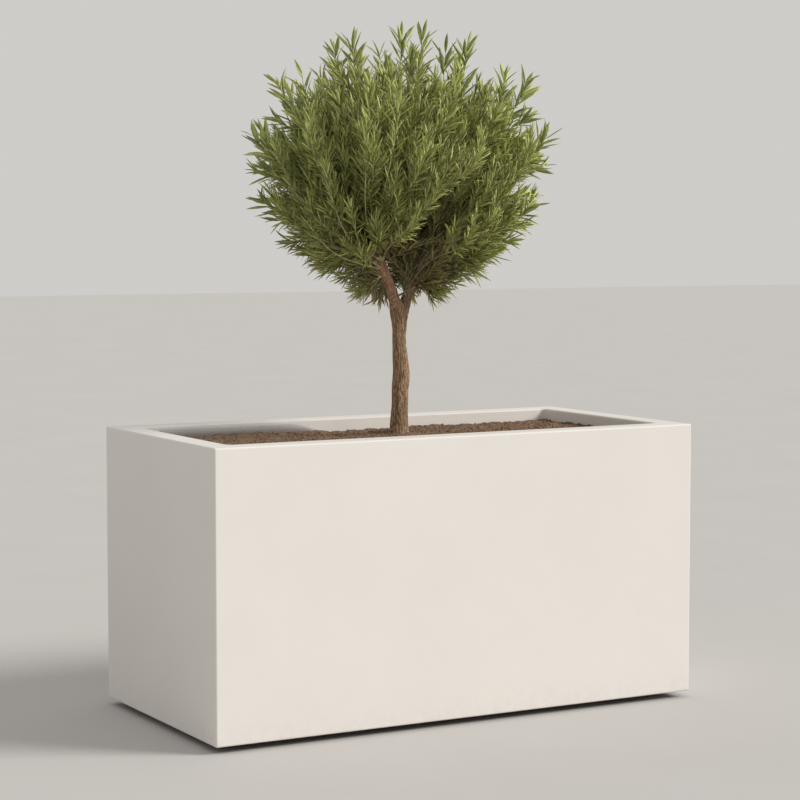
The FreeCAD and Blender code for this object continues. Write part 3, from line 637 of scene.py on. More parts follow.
def make_soil():
    """The soil's uneven top, its edge down on the liner's lip, and the block that fills the liner."""
    columns = round((SOIL_HIGH.x - SOIL_LOW.x) / SOIL_STEP)
    rows = round((SOIL_HIGH.y - SOIL_LOW.y) / SOIL_STEP)
    points = []
    for column in range(columns + 1):
        x = blend_between(SOIL_LOW.x, SOIL_HIGH.x, column / columns)
        for row in range(rows + 1):
            y = blend_between(SOIL_LOW.y, soil_back(x), row / rows)
            x_in, y_in = inside_corner(x, y)
            points.append((x_in, y_in, SOIL_TOP + soil_rise(x_in, y_in)))
    deep = rows + 1
    faces = []
    for column in range(columns):
        for row in range(rows):
            corner = column * deep + row
            faces.append((corner, corner + deep, corner + deep + 1, corner + 1))
    rim = [column * deep for column in range(columns)]
    rim += [columns * deep + row for row in range(rows)]
    rim += [column * deep + rows for column in range(columns, 0, -1)]
    rim += [row for row in range(rows, 0, -1)]
    inset = (LINER_HIGH.x - SOIL_INSET, FLEECE_HIGH.y - FLEECE_THICKNESS - SOIL_FLEECE_GAP)
    slope = (LIP_TOP - SOIL_LOW.z) * math.tan(LINER_TAPER)
    levels = [
        (LIP_TOP + SOIL_LIP_GAP, None, 0.0),
        (LIP_TOP + SOIL_LIP_GAP, inset, 0.0),
        (SOIL_LOW.z, inset, slope),
    ]
    last = rim
    for height, limit, narrower in levels:
        ring = []
        for index in rim:
            x, y, _ = points[index]
            if limit:
                x = max(-limit[0], min(limit[0], x)) * (1 - narrower / limit[0])
                y = max(-limit[1], min(limit[1], y)) * (1 - narrower / limit[1])
            ring.append(len(points))
            points.append((x, y, height))
        count = len(ring)
        for index in range(count):
            after = (index + 1) % count
            faces.append((last[after], last[index], ring[index], ring[after]))
        last = ring
    faces.append(tuple(reversed(last)))
    soil = new_object("soil_fill", mesh_from("soil_fill", points, faces))
    soil.data.shade_smooth()
    soil.data.materials.append(FINISHES["soil"])
    return soil


def crumb_shapes():
    """A few uneven crumbs of one unit across, kept out of the scene."""
    chooser = random.Random(SOIL_SEED)
    shapes = bpy.data.collections.new("crumb_shapes")
    for index in range(CRUMB_KINDS):
        ball = bmesh.new()
        bmesh.ops.create_icosphere(ball, subdivisions=1, radius=0.5)
        for corner in ball.verts:
            corner.co *= chooser.uniform(*CRUMB_LUMPS)
        width, height = chooser.uniform(*CRUMB_WIDTHS), chooser.uniform(*CRUMB_HEIGHTS)
        ball.transform(Matrix.Diagonal((1.0, width, height, 1.0)))
        mesh = bpy.data.meshes.new(f"crumb_{index}")
        ball.to_mesh(mesh)
        ball.free()
        shapes.objects.link(bpy.data.objects.new(f"crumb_{index}", mesh))
    return shapes


def geometry_tree(name, inputs):
    """An empty geometry tree with named inputs; returns the tree, its input node and its output node."""
    tree = bpy.data.node_groups.new(name, "GeometryNodeTree")
    tree.interface.new_socket("Geometry", in_out="INPUT", socket_type="NodeSocketGeometry")
    for label, kind in inputs.items():
        tree.interface.new_socket(label, in_out="INPUT", socket_type=kind)
    tree.interface.new_socket("Geometry", in_out="OUTPUT", socket_type="NodeSocketGeometry")
    return tree, tree.nodes.new("NodeGroupInput"), tree.nodes.new("NodeGroupOutput")


def random_node(tree, low, high, seed, whole=False):
    """A random number for each element, between two limits."""
    if whole:
        inputs, out = {4: low, 5: high, 8: seed}, 2
    else:
        inputs, out = {2: low, 3: high, 8: seed}, 1
    kind = "INT" if whole else "FLOAT"
    return add_node(tree, "FunctionNodeRandomValue", inputs, data_type=kind).outputs[out]


def use_tree(target, tree, values):
    """Puts the tree on an object as a modifier, with its inputs set by their sockets' identifiers."""
    modifier = target.modifiers.new(tree.name, "NODES")
    modifier.node_group = tree
    for item in tree.interface.items_tree:
        if item.in_out == "INPUT" and item.name in values:
            modifier[item.identifier] = values[item.name]


def crumb_tree():
    """Crumbs scattered on the upper faces of the soil, away from its edge."""
    tree, given, made = geometry_tree("scattered_crumbs", {
        "Density": "NodeSocketFloat", "Smallest": "NodeSocketFloat", "Largest": "NodeSocketFloat",
        "Half length": "NodeSocketFloat", "Half width": "NodeSocketFloat", "Shapes": "NodeSocketCollection",
        "Material": "NodeSocketMaterial", "Seed": "NodeSocketInt"})
    seed = given.outputs["Seed"]
    facing, place = (add_node(tree, "ShaderNodeSeparateXYZ", {0: tree.nodes.new(kind).outputs[0]})
                     for kind in ("GeometryNodeInputNormal", "GeometryNodeInputPosition"))
    chosen = math_node(tree, "GREATER_THAN", facing.outputs["Z"], CRUMB_FACING)
    for axis, limit in (("X", "Half length"), ("Y", "Half width")):
        reach = math_node(tree, "ABSOLUTE", place.outputs[axis])
        inside = math_node(tree, "LESS_THAN", reach, given.outputs[limit])
        chosen = math_node(tree, "MULTIPLY", chosen, inside)
    spots = add_node(tree, "GeometryNodeDistributePointsOnFaces", {
        "Mesh": given.outputs["Geometry"], "Selection": chosen, "Density": given.outputs["Density"],
        "Seed": seed})
    shapes = add_node(tree, "GeometryNodeCollectionInfo", {
        "Collection": given.outputs["Shapes"], "Separate Children": True, "Reset Children": True})
    share = math_node(tree, "POWER", random_node(tree, 0.0, 1.0, seed), 3.0)
    size = ramp_value(tree, share, 0.0, 1.0, given.outputs["Smallest"], given.outputs["Largest"])
    turn = add_node(tree, "FunctionNodeRandomValue", {0: (0.0, 0.0, 0.0), 1: (6.3, 6.3, 6.3), 8: seed},
                    data_type="FLOAT_VECTOR").outputs[0]
    crumbs = add_node(tree, "GeometryNodeInstanceOnPoints", {
        "Points": spots.outputs["Points"], "Instance": shapes.outputs[0], "Pick Instance": True,
        "Instance Index": random_node(tree, 0, CRUMB_KINDS - 1, seed, whole=True), "Rotation": turn,
        "Scale": size})
    real = add_node(tree, "GeometryNodeRealizeInstances", {0: crumbs.outputs[0]})
    finished = add_node(tree, "GeometryNodeSetMaterial", {"Geometry": real.outputs[0],
                                                          "Material": given.outputs["Material"]})
    tree.links.new(finished.outputs[0], made.inputs[0])
    return tree


def make_crumbs(soil):
    shapes = crumb_shapes()
    source = new_object("crumb_source", soil.data.copy())
    use_tree(source, crumb_tree(), {
        "Density": CRUMB_DENSITY, "Smallest": CRUMB_SIZES[0], "Largest": CRUMB_SIZES[1],
        "Half length": SOIL_HIGH.x - CRUMB_MARGIN, "Half width": FLEECE_HIGH.y - CRUMB_MARGIN,
        "Shapes": shapes, "Material": FINISHES["soil"], "Seed": SOIL_SEED})
    crumbs = baked(source, "soil_crumbs")
    crumbs.data.shade_smooth()
    return crumbs


# Fleece

def fleece_shade_band_top(x):
    """Height of the fleece's edge: ragged where it shows above the soil as a grey band of painted shade on
    the back wall, and trimmed below the soil to the right, where that shade ends.
    """
    ragged = 0.0
    for height, pitch, row in FLEECE_RAGGED:
        ragged += height * noise.noise(Vector((pitch * x, row, 0.0)))
    shown = FLEECE_HIGH.z - FLEECE_EDGE_DROP + ragged
    share = clamp((x - FLEECE_TRIM_START) / (FLEECE_TRIM_END - FLEECE_TRIM_START))
    return blend_between(shown, LIP_TOP - FLEECE_HIDDEN_DROP, share * share * (3 - 2 * share))


def make_fleece():
    """A cloth laid over the drainage mat and turned up along the back of the liner; the part above the soil
    is a grey band of painted shade on the back wall.
    """
    half = FLEECE_THICKNESS / 2
    wall = FLEECE_HIGH.y - half
    floor = FLEECE_LOW.z + half
    foot = wall - (LIP_TOP - floor) * math.tan(LINER_TAPER)
    steps = [step / FLEECE_STEPS for step in range(FLEECE_STEPS + 1)]
    points = []
    rise = []
    for column in range(FLEECE_COLUMNS + 1):
        x = blend_between(FLEECE_LOW.x, FLEECE_HIGH.x, column / FLEECE_COLUMNS)
        top = fleece_shade_band_top(x)
        bend = min(top, LIP_TOP)
        for step in steps:
            points.append((x, blend_between(FLEECE_LOW.y, foot, step), floor))
        for step in steps[1:]:
            height = blend_between(floor, bend, step)
            points.append((x, blend_between(foot, wall, (height - floor) / (LIP_TOP - floor)), height))
        for step in steps[1:]:
            height = blend_between(bend, max(top, bend + FLEECE_LEAST), step)
            wave = FLEECE_WAVE * noise.noise(Vector((FLEECE_WAVE_PITCH * x, 9.0, 0.0))) * step
            points.append((x, wall + FLEECE_LEAN * step ** 2 + wave, height))
        rise += [0.0] * (2 * len(steps) - 1) + steps[1:]
    deep = 3 * len(steps) - 2
    faces = []
    for column in range(FLEECE_COLUMNS):
        for row in range(deep - 1):
            corner = column * deep + row
            faces.append((corner, corner + deep, corner + deep + 1, corner + 1))
    cloth = new_object("fleece_source", mesh_from("fleece_source", points, faces))
    store(cloth.data, "rise", rise)
    thick = cloth.modifiers.new("thickness", "SOLIDIFY")
    thick.thickness = FLEECE_THICKNESS
    thick.offset = 0.0
    fleece = baked(cloth, "fleece_cloth")
    fleece.data.shade_smooth()
    fleece.data.materials.append(FINISHES["fleece"])
    width = FLEECE_HIGH.x - FLEECE_LOW.x
    length = (foot - FLEECE_LOW.y) + (LIP_TOP - floor) / math.cos(LINER_TAPER) + (FLEECE_HIGH.z - LIP_TOP)
    lowered = FLEECE_HIGH.z - LIP_TOP + FLEECE_HIDDEN_DROP
    trimmed = lowered * (FLEECE_HIGH.x - (FLEECE_TRIM_START + FLEECE_TRIM_END) / 2)
    return fleece, (width, length), width * length - trimmed


# Wood

def curve_through(stations, steps):
    """Points and radii on a smooth line through stations of x, y, height above the soil and radius."""
    places = [Vector((x, y, SOIL_TOP + height, radius)) for x, y, height, radius in stations]
    padded = [places[0] * 2 - places[1], *places, places[-1] * 2 - places[-2]]
    line = []
    for index in range(1, len(padded) - 2):
        before, start, end, after = padded[index - 1:index + 3]
        for step in range(steps):
            t = step / steps
            line.append(0.5 * (2 * start + (end - before) * t
                               + (2 * before - 5 * start + 4 * end - after) * t ** 2
                               + (3 * start - before - 3 * end + after) * t ** 3))
    return [(point.to_3d(), point.w) for point in line + [places[-1]]]


def tube_points(line, sides):
    """Rings round a line of points and radii, and the faces between them, closed at both ends."""
    points, faces = [], []
    count = len(line)
    turn = Quaternion()
    before = Vector((0, 0, 1))
    for index, (middle, radius) in enumerate(line):
        ahead = (line[min(index + 1, count - 1)][0] - line[max(index - 1, 0)][0]).normalized()
        turn = before.rotation_difference(ahead) @ turn
        before = ahead
        for side in range(sides):
            angle = 2 * math.pi * side / sides
            points.append(middle + turn @ Vector((radius * math.cos(angle), radius * math.sin(angle), 0)))
    for index in range(count - 1):
        for side in range(sides):
            near, far = index * sides, (index + 1) * sides
            after = (side + 1) % sides
            faces.append((near + side, near + after, far + after, far + side))
    faces.append(tuple(reversed(range(sides))))
    faces.append(tuple(range((count - 1) * sides, count * sides)))
    return points, faces


def bark_crack(place):
    """Depth of the bark at a place, from 0 on a ridge to 1 in a crack; cracks run up the trunk."""
    drawn = Vector((place.x * BARK_ACROSS, place.y * BARK_ACROSS, place.z * BARK_ALONG))
    drift = Vector((place.x * WANDER_ACROSS, place.y * WANDER_ACROSS, place.z * WANDER_ALONG))
    wander = WANDER_SHARE * noise.noise(drift)
    ridge = 1 - abs(noise.noise(drawn + Vector((wander, wander, 0))))
    return clamp((ridge - BARK_RIDGE) / BARK_FADE)


def make_wood():
    """Trunk and limbs in one skin, with lumps and cracked bark."""
    points, faces = [], []
    for stations in (TRUNK, LEFT_LIMB, RIGHT_LIMB):
        more_points, more_faces = tube_points(curve_through(stations, WOOD_STEPS), WOOD_SIDES)
        start = len(points)
        points += more_points
        faces += [tuple(start + corner for corner in face) for face in more_faces]
    solid = new_object("wood_source", mesh_from("wood_source", points, faces))
    skin = solid.modifiers.new("skin", "REMESH")
    skin.mode = "VOXEL"
    skin.voxel_size = WOOD_VOXEL
    even = solid.modifiers.new("even", "SMOOTH")
    even.factor = 0.5
    even.iterations = 6
    wood = baked(solid, "tree_wood")
    mesh = wood.data
    normals = [vertex.normal.copy() for vertex in mesh.vertices]
    cracks = []
    for vertex, normal in zip(mesh.vertices, normals):
        place = vertex.co
        slim = 1.0 - LIMB_SLIMMER * clamp((place.z - FORK.z) / LIMB_SLIM_REACH)
        crack = bark_crack(place)
        lump = noise.noise(Vector((place.x * LUMP_ACROSS, place.y * LUMP_ACROSS, place.z * LUMP_ALONG)))
        vertex.co = place + normal * slim * (LUMP_HEIGHT * lump - CRACK_DEPTH * crack)
        cracks.append(crack)
    store(mesh, "crack", cracks)
    mesh.shade_smooth()
    mesh.materials.append(FINISHES["bark"])
    return wood


# Crown

def envelope(lean):
    """How far the plumes' tips are from the fork at an angle from upright."""
    tips = [(math.atan2(reach, height), math.hypot(reach, height)) for _, _, reach, height in PLUME_RINGS]
    for (low, near), (high, far) in zip(tips, tips[1:]):
        if lean <= high:
            return blend_between(near, far, (lean - low) / (high - low))
    return tips[-1][1]


def even_leans(count):
    """Leans from upright that spread points evenly over the crown's surface."""
    steps = 400
    leans = [CROWN_LIMIT * step / steps for step in range(steps + 1)]
    total, sums = 0.0, [0.0]
    for before, after in zip(leans, leans[1:]):
        middle = (before + after) / 2
        reach = envelope(middle)
        run = math.hypot(reach * (after - before), envelope(after) - envelope(before))
        total += run * reach * math.sin(middle)
        sums.append(total)
    found = []
    at = 0
    for index in range(count):
        wanted = total * (index + 0.5) / count
        while sums[at + 1] < wanted:
            at += 1
        found.append(leans[at])
    return found


def direction(lean, azimuth):
    return Vector((math.sin(lean) * math.cos(azimuth), math.sin(lean) * math.sin(azimuth), math.cos(lean)))


def bezier(start, first, second, end, count):
    """Evenly timed points on a cubic curve."""
    line = []
    for step in range(count + 1):
        t = step / count
        line.append(start * (1 - t) ** 3 + 3 * first * t * (1 - t) ** 2
                    + 3 * second * t * t * (1 - t) + end * t ** 3)
    return line


def limb_point(limb, share):
    """A place on a limb's line and the way the limb goes there."""
    line = curve_through(limb, WOOD_STEPS)
    index = min(len(line) - 2, int(share * (len(line) - 1)))
    here, ahead = line[index][0], line[index + 1][0]
    return here, (ahead - here).normalized()


def from_open_side(azimuth):
    """Angle between an azimuth and the side where the limbs are open to view."""
    return abs((azimuth - OPEN_SIDE + math.pi) % (2 * math.pi) - math.pi)


def facing_open_side(lean, azimuth):
    """From 0 for a shoot on top or away from the open side to 1 for a low one on that side."""
    low = clamp((lean - OPEN_FROM) / OPEN_FADE)
    return low * clamp((OPEN_REACH - from_open_side(azimuth)) / OPEN_EDGE)


def main_shoot(lean, azimuth, reach, chooser):
    """Points of a long shoot from a limb out to a lean, an azimuth and a distance from the fork."""
    tip = FORK + direction(lean, azimuth) * reach
    limb = LEFT_LIMB if tip.x < FORK.x + LIMB_DIVIDE else RIGHT_LIMB
    upright = clamp(1 - lean / CROWN_LIMIT)
    share = SHOOT_START + SHOOT_CLIMB * upright + chooser.uniform(*SHOOT_START_JITTER)
    start, way = limb_point(limb, clamp(share))
    droop = blend_between(SHOOT_DROOP, SHOOT_LIFT, clamp(upright * SHOOT_LIFT_RATE))
    droop -= OPEN_RISE * facing_open_side(lean, azimuth)
    out = direction(lean + droop + chooser.uniform(-SHOOT_LEAN_JITTER, SHOOT_LEAN_JITTER), azimuth)
    span = (tip - start).length
    onward = SHOOT_ONWARD * (tip - start).normalized()
    lifted = (way + Vector((0, 0, SHOOT_UPWARD)) + onward).normalized()
    near, far = SHOOT_HANDLES
    return bezier(start, start + lifted * span * near, tip - out * span * far, tip, SHOOT_POINTS)


def side_shoot(line, share, turn, sweep, chooser):
    """A shorter shoot that leaves a main one and bends forward along it, or upwards by its sweep."""
    count = len(line) - 1
    index = min(count - 1, int(share * count))
    start = line[index]
    ahead = (line[index + 1] - line[index]).normalized()
    across = Quaternion(ahead, turn) @ ahead.orthogonal().normalized()
    spread = math.radians(chooser.uniform(*SIDE_SPREAD))
    way = ahead * math.cos(spread) + across * math.sin(spread)
    way = (way + Vector((0, 0, SIDE_SWEEP * sweep))).normalized()
    remaining = (line[-1] - start).length
    length = min(SIDE_LENGTH, SIDE_REMAINDER * remaining) * chooser.uniform(*SIDE_LENGTHS)
    bent = (way + ahead * SIDE_ONWARD + Vector((0, 0, SIDE_UPWARD))).normalized()
    near, far = SIDE_HANDLES
    straight, turned = SIDE_BEND
    return bezier(start, start + way * length * near, start + way * length * far,
                  start + way * length * straight + bent * length * turned, SIDE_POINTS)


def plume_aims(chooser):
    """Lean, azimuth and distance from the fork of each plume's last twig."""
    for count, first, reach, height in PLUME_RINGS:
        lean = math.atan2(reach, height)
        length = math.hypot(reach, height) - LEAF_BEYOND
        for index in range(count):
            turn = 2 * math.pi * index / count + math.radians(first)
            turn += chooser.uniform(-PLUME_TURN_JITTER, PLUME_TURN_JITTER)
            yield lean, turn, length * chooser.uniform(*PLUME_LENGTHS)


def fill_aims(chooser):
    """Lean, azimuth and distance from the fork of the shorter shoots between the plumes."""
    for index, lean in enumerate(even_leans(FILL_COUNT)):
        length = FILL_SHARE * envelope(lean) - LEAF_BEYOND
        turn = index * GOLDEN_ANGLE + chooser.uniform(-FILL_TURN_JITTER, FILL_TURN_JITTER)
        yield lean, turn, length * chooser.uniform(*FILL_LENGTHS)


def hides_fork(lean, azimuth, chooser):
    """Whether a shoot would hang in front of the fork, on the side where the limbs are open to view."""
    return lean > OPEN_LEAN + chooser.uniform(*OPEN_RAGGED) and from_open_side(azimuth) < OPEN_HALF


def plume_vigour(lean, azimuth):
    """How bold a plume's leaves are: full on top, less low down and least on the open side."""
    low = clamp((lean - VIGOUR_FROM) / VIGOUR_FADE)
    return (1 - LOW_LOSS * low) * (1 - OPEN_LOSS * facing_open_side(lean, azimuth))


def inner_shoots(chooser):
    """Short upright shoots with dry leaves, along the limbs and out of the crotch between them."""
    for limb, count, low, high, spread in INNER_SHOOTS:
        for index in range(count):
            start, way = limb_point(limb, chooser.uniform(low, high))
            out = direction(math.radians(spread) * math.sqrt(chooser.random()), index * GOLDEN_ANGLE)
            length = chooser.uniform(*INNER_LENGTHS)
            near, far = INNER_HANDLES
            yield bezier(start, start + (way + out) * length * near, start + out * length * far,
                         start + out * length, SIDE_POINTS)


def pale_twigs(chooser):
    """Long bare twigs that sweep up over the leaves on the open side."""
    for lean, azimuth in PALE_TWIGS:
        lean, azimuth = math.radians(lean), math.radians(azimuth)
        start, _ = limb_point(LEFT_LIMB, chooser.uniform(*PALE_STARTS))
        tip = FORK + direction(lean, azimuth) * (envelope(lean) - LEAF_BEYOND)
        span = (tip - start).length
        bulge = direction(lean + PALE_BULGE, azimuth)
        rise = direction(lean - PALE_RISE, azimuth)
        near, far = PALE_HANDLES
        yield bezier(start, start + bulge * span * near, tip - rise * span * far, tip, SHOOT_POINTS)


def grow_shoots():
    """Every shoot with its bough, points, thickness at the base, share without leaves and vigour."""
    chooser = random.Random(CROWN_SEED)
    aims = [(aim, PLUME_SIDE_COUNT, plume_vigour(*aim[:2])) for aim in plume_aims(chooser)]
    aims += [(aim, FILL_SIDE_COUNT, 0.0) for aim in fill_aims(chooser)]
    shoots = []
    for index, (aim, side_count, vigour) in enumerate(aims):
        line = main_shoot(*aim, chooser)
        bough = index % BOUGH_COUNT
        if hides_fork(*aim[:2], chooser):
            continue
        shoots.append((bough, line, *MAIN_SHOOT, vigour))
        turn = chooser.uniform(0, 2 * math.pi)
        for number in range(side_count):
            share = blend_between(*SIDE_SHARES, (number + chooser.uniform(0.1, 0.9)) / side_count)
            turn += GOLDEN_ANGLE
            side = side_shoot(line, share, turn, facing_open_side(*aim[:2]), chooser)
            shoots.append((bough, side, *SIDE_SHOOT, SIDE_VIGOUR * vigour))
    for index, line in enumerate(inner_shoots(chooser)):
        shoots.append((index % BOUGH_COUNT, line, *INNER_SHOOT, 0.0))
    for index, line in enumerate(pale_twigs(chooser)):
        shoots.append((index % BOUGH_COUNT, line, *PALE_TWIG, PALE_VIGOUR))
    return shoots


def shoot_mesh(name, shoots):
    """Lines of one bough's shoots, whose points hold girth, place along the leafy part, place in the crown
    and how bold the leaves are."""
    points, edges = [], []
    girth, along, outer, bold = [], [], [], []
    for _, line, thickness, bare, vigour in shoots:
        start = len(points)
        last = len(line) - 1
        for index, point in enumerate(line):
            share = index / last
            away = point - FORK
            depth = clamp(away.length / envelope(away.angle(Vector((0, 0, 1)), 0.0)))
            points.append(point)
            girth.append(blend_between(thickness, TIP_GIRTH, share ** GIRTH_TAPER))
            along.append((share - bare) / (1 - bare))
            outer.append(depth)
            bold.append(vigour * clamp((depth - BOLD_DEPTH) / BOLD_FADE))
        edges += [(start + index, start + index + 1) for index in range(last)]
    mesh = mesh_from(name, points, edges=edges)
    store(mesh, "girth", girth)
    store(mesh, "along", along)
    store(mesh, "outer", outer)
    store(mesh, "bold", bold)
    return mesh


def leaf_mesh(name, stations, width, recurve, twist):
    """A closed narrow leaf along Z of unit length, its upper side to +Y, keeled along the midrib."""
    half_width = width / 2
    points = [(0.0, 0.0, 0.0)]
    across, under = [0.0], [0.0]
    for height, share in stations:
        back = -recurve * height ** 2
        turned = Matrix.Rotation(twist * height, 3, "Z")
        wide = half_width * share
        ring = [(-wide, LEAF_KEEL * wide, 1.0, 0.0), (0.0, 0.0, 0.0, 0.0), (wide, LEAF_KEEL * wide, 1.0, 0.0),
                (0.0, -LEAF_THICKNESS, 0.0, 1.0)]
        for x, y, edge, below in ring:
            spot = turned @ Vector((x, y, 0))
            points.append((spot.x, spot.y + back, height))
            across.append(edge)
            under.append(below)
    points.append((0.0, -recurve, 1.0))
    across.append(0.3)
    under.append(0.0)
    faces = []
    for side in range(4):
        after = (side + 1) % 4
        faces.append((0, 1 + after, 1 + side))
        for ring in range(len(stations) - 1):
            near, far = 1 + 4 * ring, 5 + 4 * ring
            faces.append((near + side, near + after, far + after, far + side))
        top = 1 + 4 * (len(stations) - 1)
        faces.append((top + side, top + after, len(points) - 1))
    mesh = mesh_from(name, points, faces)
    solid = bmesh.new()
    solid.from_mesh(mesh)
    bmesh.ops.recalc_face_normals(solid, faces=solid.faces)
    solid.to_mesh(mesh)
    solid.free()
    store(mesh, "across", across)
    store(mesh, "under", under)
    mesh.shade_smooth()
    return mesh


def leaf_shapes():
    """Four fine leaves and four bold ones, kept out of the scene."""
    shapes = bpy.data.collections.new("leaf_shapes")
    kinds = [
        ("fine_leaf", [(0.28, 1.0), (0.70, 0.75)], FINE_LEAF_WIDTH),
        ("full_leaf", [(0.20, 0.70), (0.48, 1.0), (0.77, 0.66)], BOLD_LEAF_WIDTH),
    ]
    for kind, stations, width in kinds:
        for index, bend in enumerate(LEAF_BENDS):
            name = f"{kind}_{index}"
            mesh = leaf_mesh(name, stations, width, *bend)
            shapes.objects.link(bpy.data.objects.new(name, mesh))
    return shapes


def leafy_tree():
    """Shoots as tubes, with leaves set round them in a spiral that closes towards the tip."""
    tree, given, made = geometry_tree("leafy_shoots", {
        "Fine leaf": "NodeSocketFloat", "Bold leaf": "NodeSocketFloat", "Spacing": "NodeSocketFloat",
        "Turn": "NodeSocketFloat", "Shapes": "NodeSocketCollection", "Leaf material": "NodeSocketMaterial",
        "Twig material": "NodeSocketMaterial", "Seed": "NodeSocketInt"})
    seed = given.outputs["Seed"]

    def named(name, kind="FLOAT"):
        return add_node(tree, "GeometryNodeInputNamedAttribute", {"Name": name}, data_type=kind).outputs[0]

    def seeded(extra):
        return math_node(tree, "ADD", seed, float(extra))

    lines = add_node(tree, "GeometryNodeMeshToCurve", {0: given.outputs["Geometry"]})
    ring = add_node(tree, "GeometryNodeCurvePrimitiveCircle", {"Resolution": 5, "Radius": 1.0})
    tubes = add_node(tree, "GeometryNodeCurveToMesh", {
        "Curve": lines.outputs[0], "Profile Curve": ring.outputs[0], "Scale": named("girth"),
        "Fill Caps": True})
    twigs = add_node(tree, "GeometryNodeSetMaterial", {"Geometry": tubes.outputs[0],
                                                       "Material": given.outputs["Twig material"]})

    spots = add_node(tree, "GeometryNodeCurveToPoints", {
        "Curve": lines.outputs[0], "Length": given.outputs["Spacing"]}, mode="LENGTH")
    way = add_node(tree, "GeometryNodeStoreNamedAttribute", {
        "Geometry": spots.outputs["Points"], "Name": "way", "Value": spots.outputs["Tangent"]},
        data_type="FLOAT_VECTOR", domain="POINT")
    youth = math_node(tree, "MULTIPLY", ramp_value(tree, named("along"), *YOUNG_ALONG),
                      ramp_value(tree, named("outer"), *YOUNG_OUTER))
    thinned = math_node(tree, "LESS_THAN", random_node(tree, 0.0, 1.0, seeded(8)),
                        math_node(tree, "MULTIPLY", named("bold"), BOLD_THINNING))
    bare = math_node(tree, "LESS_THAN", named("along"), random_node(tree, *LEAF_BARE, seeded(1)))
    bare = math_node(tree, "MAXIMUM", bare, thinned)
    leafy = add_node(tree, "GeometryNodeDeleteGeometry", {"Geometry": way.outputs[0], "Selection": bare},
                     domain="POINT")
    tangent = named("way", "FLOAT_VECTOR")

    index = tree.nodes.new("GeometryNodeInputIndex").outputs[0]
    spiral = math_node(tree, "MULTIPLY_ADD", index, given.outputs["Turn"],
                       random_node(tree, -LEAF_TURN_JITTER, LEAF_TURN_JITTER, seeded(2)))
    opening = ramp_value(tree, named("along"), 0.0, 1.0, *LEAF_OPENING)
    opening = math_node(tree, "ADD", opening, ramp_value(tree, named("bold"), 0.0, 1.0, 0.0, BOLD_OPENING))
    opening = math_node(tree, "ADD", opening,
                        random_node(tree, -LEAF_OPENING_JITTER, LEAF_OPENING_JITTER, seeded(3)))
    roll = random_node(tree, -LEAF_ROLL, LEAF_ROLL, seeded(4))
    turn = add_node(tree, "FunctionNodeAlignRotationToVector", {"Vector": tangent}, axis="Z").outputs[0]
    for axis, angle in (((0, 0, 1), spiral), ((1, 0, 0), opening), ((0, 0, 1), roll)):
        step = add_node(tree, "FunctionNodeAxisAngleToRotation", {"Axis": axis, "Angle": angle}).outputs[0]
        turn = add_node(tree, "FunctionNodeRotateRotation", {0: turn, 1: step},
                        rotation_space="LOCAL").outputs[0]

    swell = add_node(tree, "ShaderNodeFloatCurve", {"Value": named("along")})
    shape = swell.mapping.curves[0]
    for place, spot in zip(shape.points, (LEAF_SWELL[0], LEAF_SWELL[-1])):
        place.location = spot
    for spot in LEAF_SWELL[1:-1]:
        shape.points.new(*spot)
    swell.mapping.update()
    size = math_node(tree, "MULTIPLY", swell.outputs[0], random_node(tree, *LEAF_SIZES, seeded(5)))
    length = ramp_value(tree, named("bold"), 0.0, 1.0, given.outputs["Fine leaf"],
                        given.outputs["Bold leaf"])
    size = math_node(tree, "MULTIPLY", size, length)

    shapes = add_node(tree, "GeometryNodeCollectionInfo", {
        "Collection": given.outputs["Shapes"], "Separate Children": True, "Reset Children": True})
    bends = len(LEAF_BENDS)
    bold = math_node(tree, "GREATER_THAN", named("bold"), BOLD_FROM)
    kind = math_node(tree, "MULTIPLY", bold, float(bends))
    picked = math_node(tree, "ADD", random_node(tree, 0, bends - 1, seeded(6), whole=True), kind)
    leaves = add_node(tree, "GeometryNodeInstanceOnPoints", {
        "Points": leafy.outputs[0], "Instance": shapes.outputs[0], "Pick Instance": True,
        "Instance Index": picked, "Rotation": turn, "Scale": size})
    tones = {"tone": random_node(tree, 0.0, 1.0, seeded(7)), "youth": youth,
             "withered": ramp_value(tree, named("outer"), *WITHERED_OUTER)}
    geometry = leaves.outputs[0]
    for name, value in tones.items():
        geometry = add_node(tree, "GeometryNodeStoreNamedAttribute", {
            "Geometry": geometry, "Name": name, "Value": value},
            data_type="FLOAT", domain="INSTANCE").outputs[0]
    green = add_node(tree, "GeometryNodeSetMaterial", {
        "Geometry": add_node(tree, "GeometryNodeRealizeInstances", {0: geometry}).outputs[0],
        "Material": given.outputs["Leaf material"]})
    joined = add_node(tree, "GeometryNodeJoinGeometry")
    tree.links.new(green.outputs[0], joined.inputs[0])
    tree.links.new(twigs.outputs[0], joined.inputs[0])
    tree.links.new(joined.outputs[0], made.inputs[0])
    return tree


def make_boughs():
    """The leafy crown in a few boughs, each a bundle of shoots."""
    shoots = grow_shoots()
    tree = leafy_tree()
    shapes = leaf_shapes()
    boughs = []
    for number in range(BOUGH_COUNT):
        chosen = [shoot for shoot in shoots if shoot[0] == number]
        source = new_object(f"bough_source_{number}", shoot_mesh(f"bough_source_{number}", chosen))
        use_tree(source, tree, {
            "Fine leaf": FINE_LEAF, "Bold leaf": BOLD_LEAF, "Spacing": LEAF_SPACING, "Turn": GOLDEN_ANGLE,
            "Shapes": shapes, "Leaf material": FINISHES["leaves"], "Twig material": TWIG_FINISH,
            "Seed": 20 * number + CROWN_SEED})
        bough = baked(source, f"bough_{number + 1}")
        bough.data.shade_smooth()
        boughs.append(bough)
    return boughs


# Stage

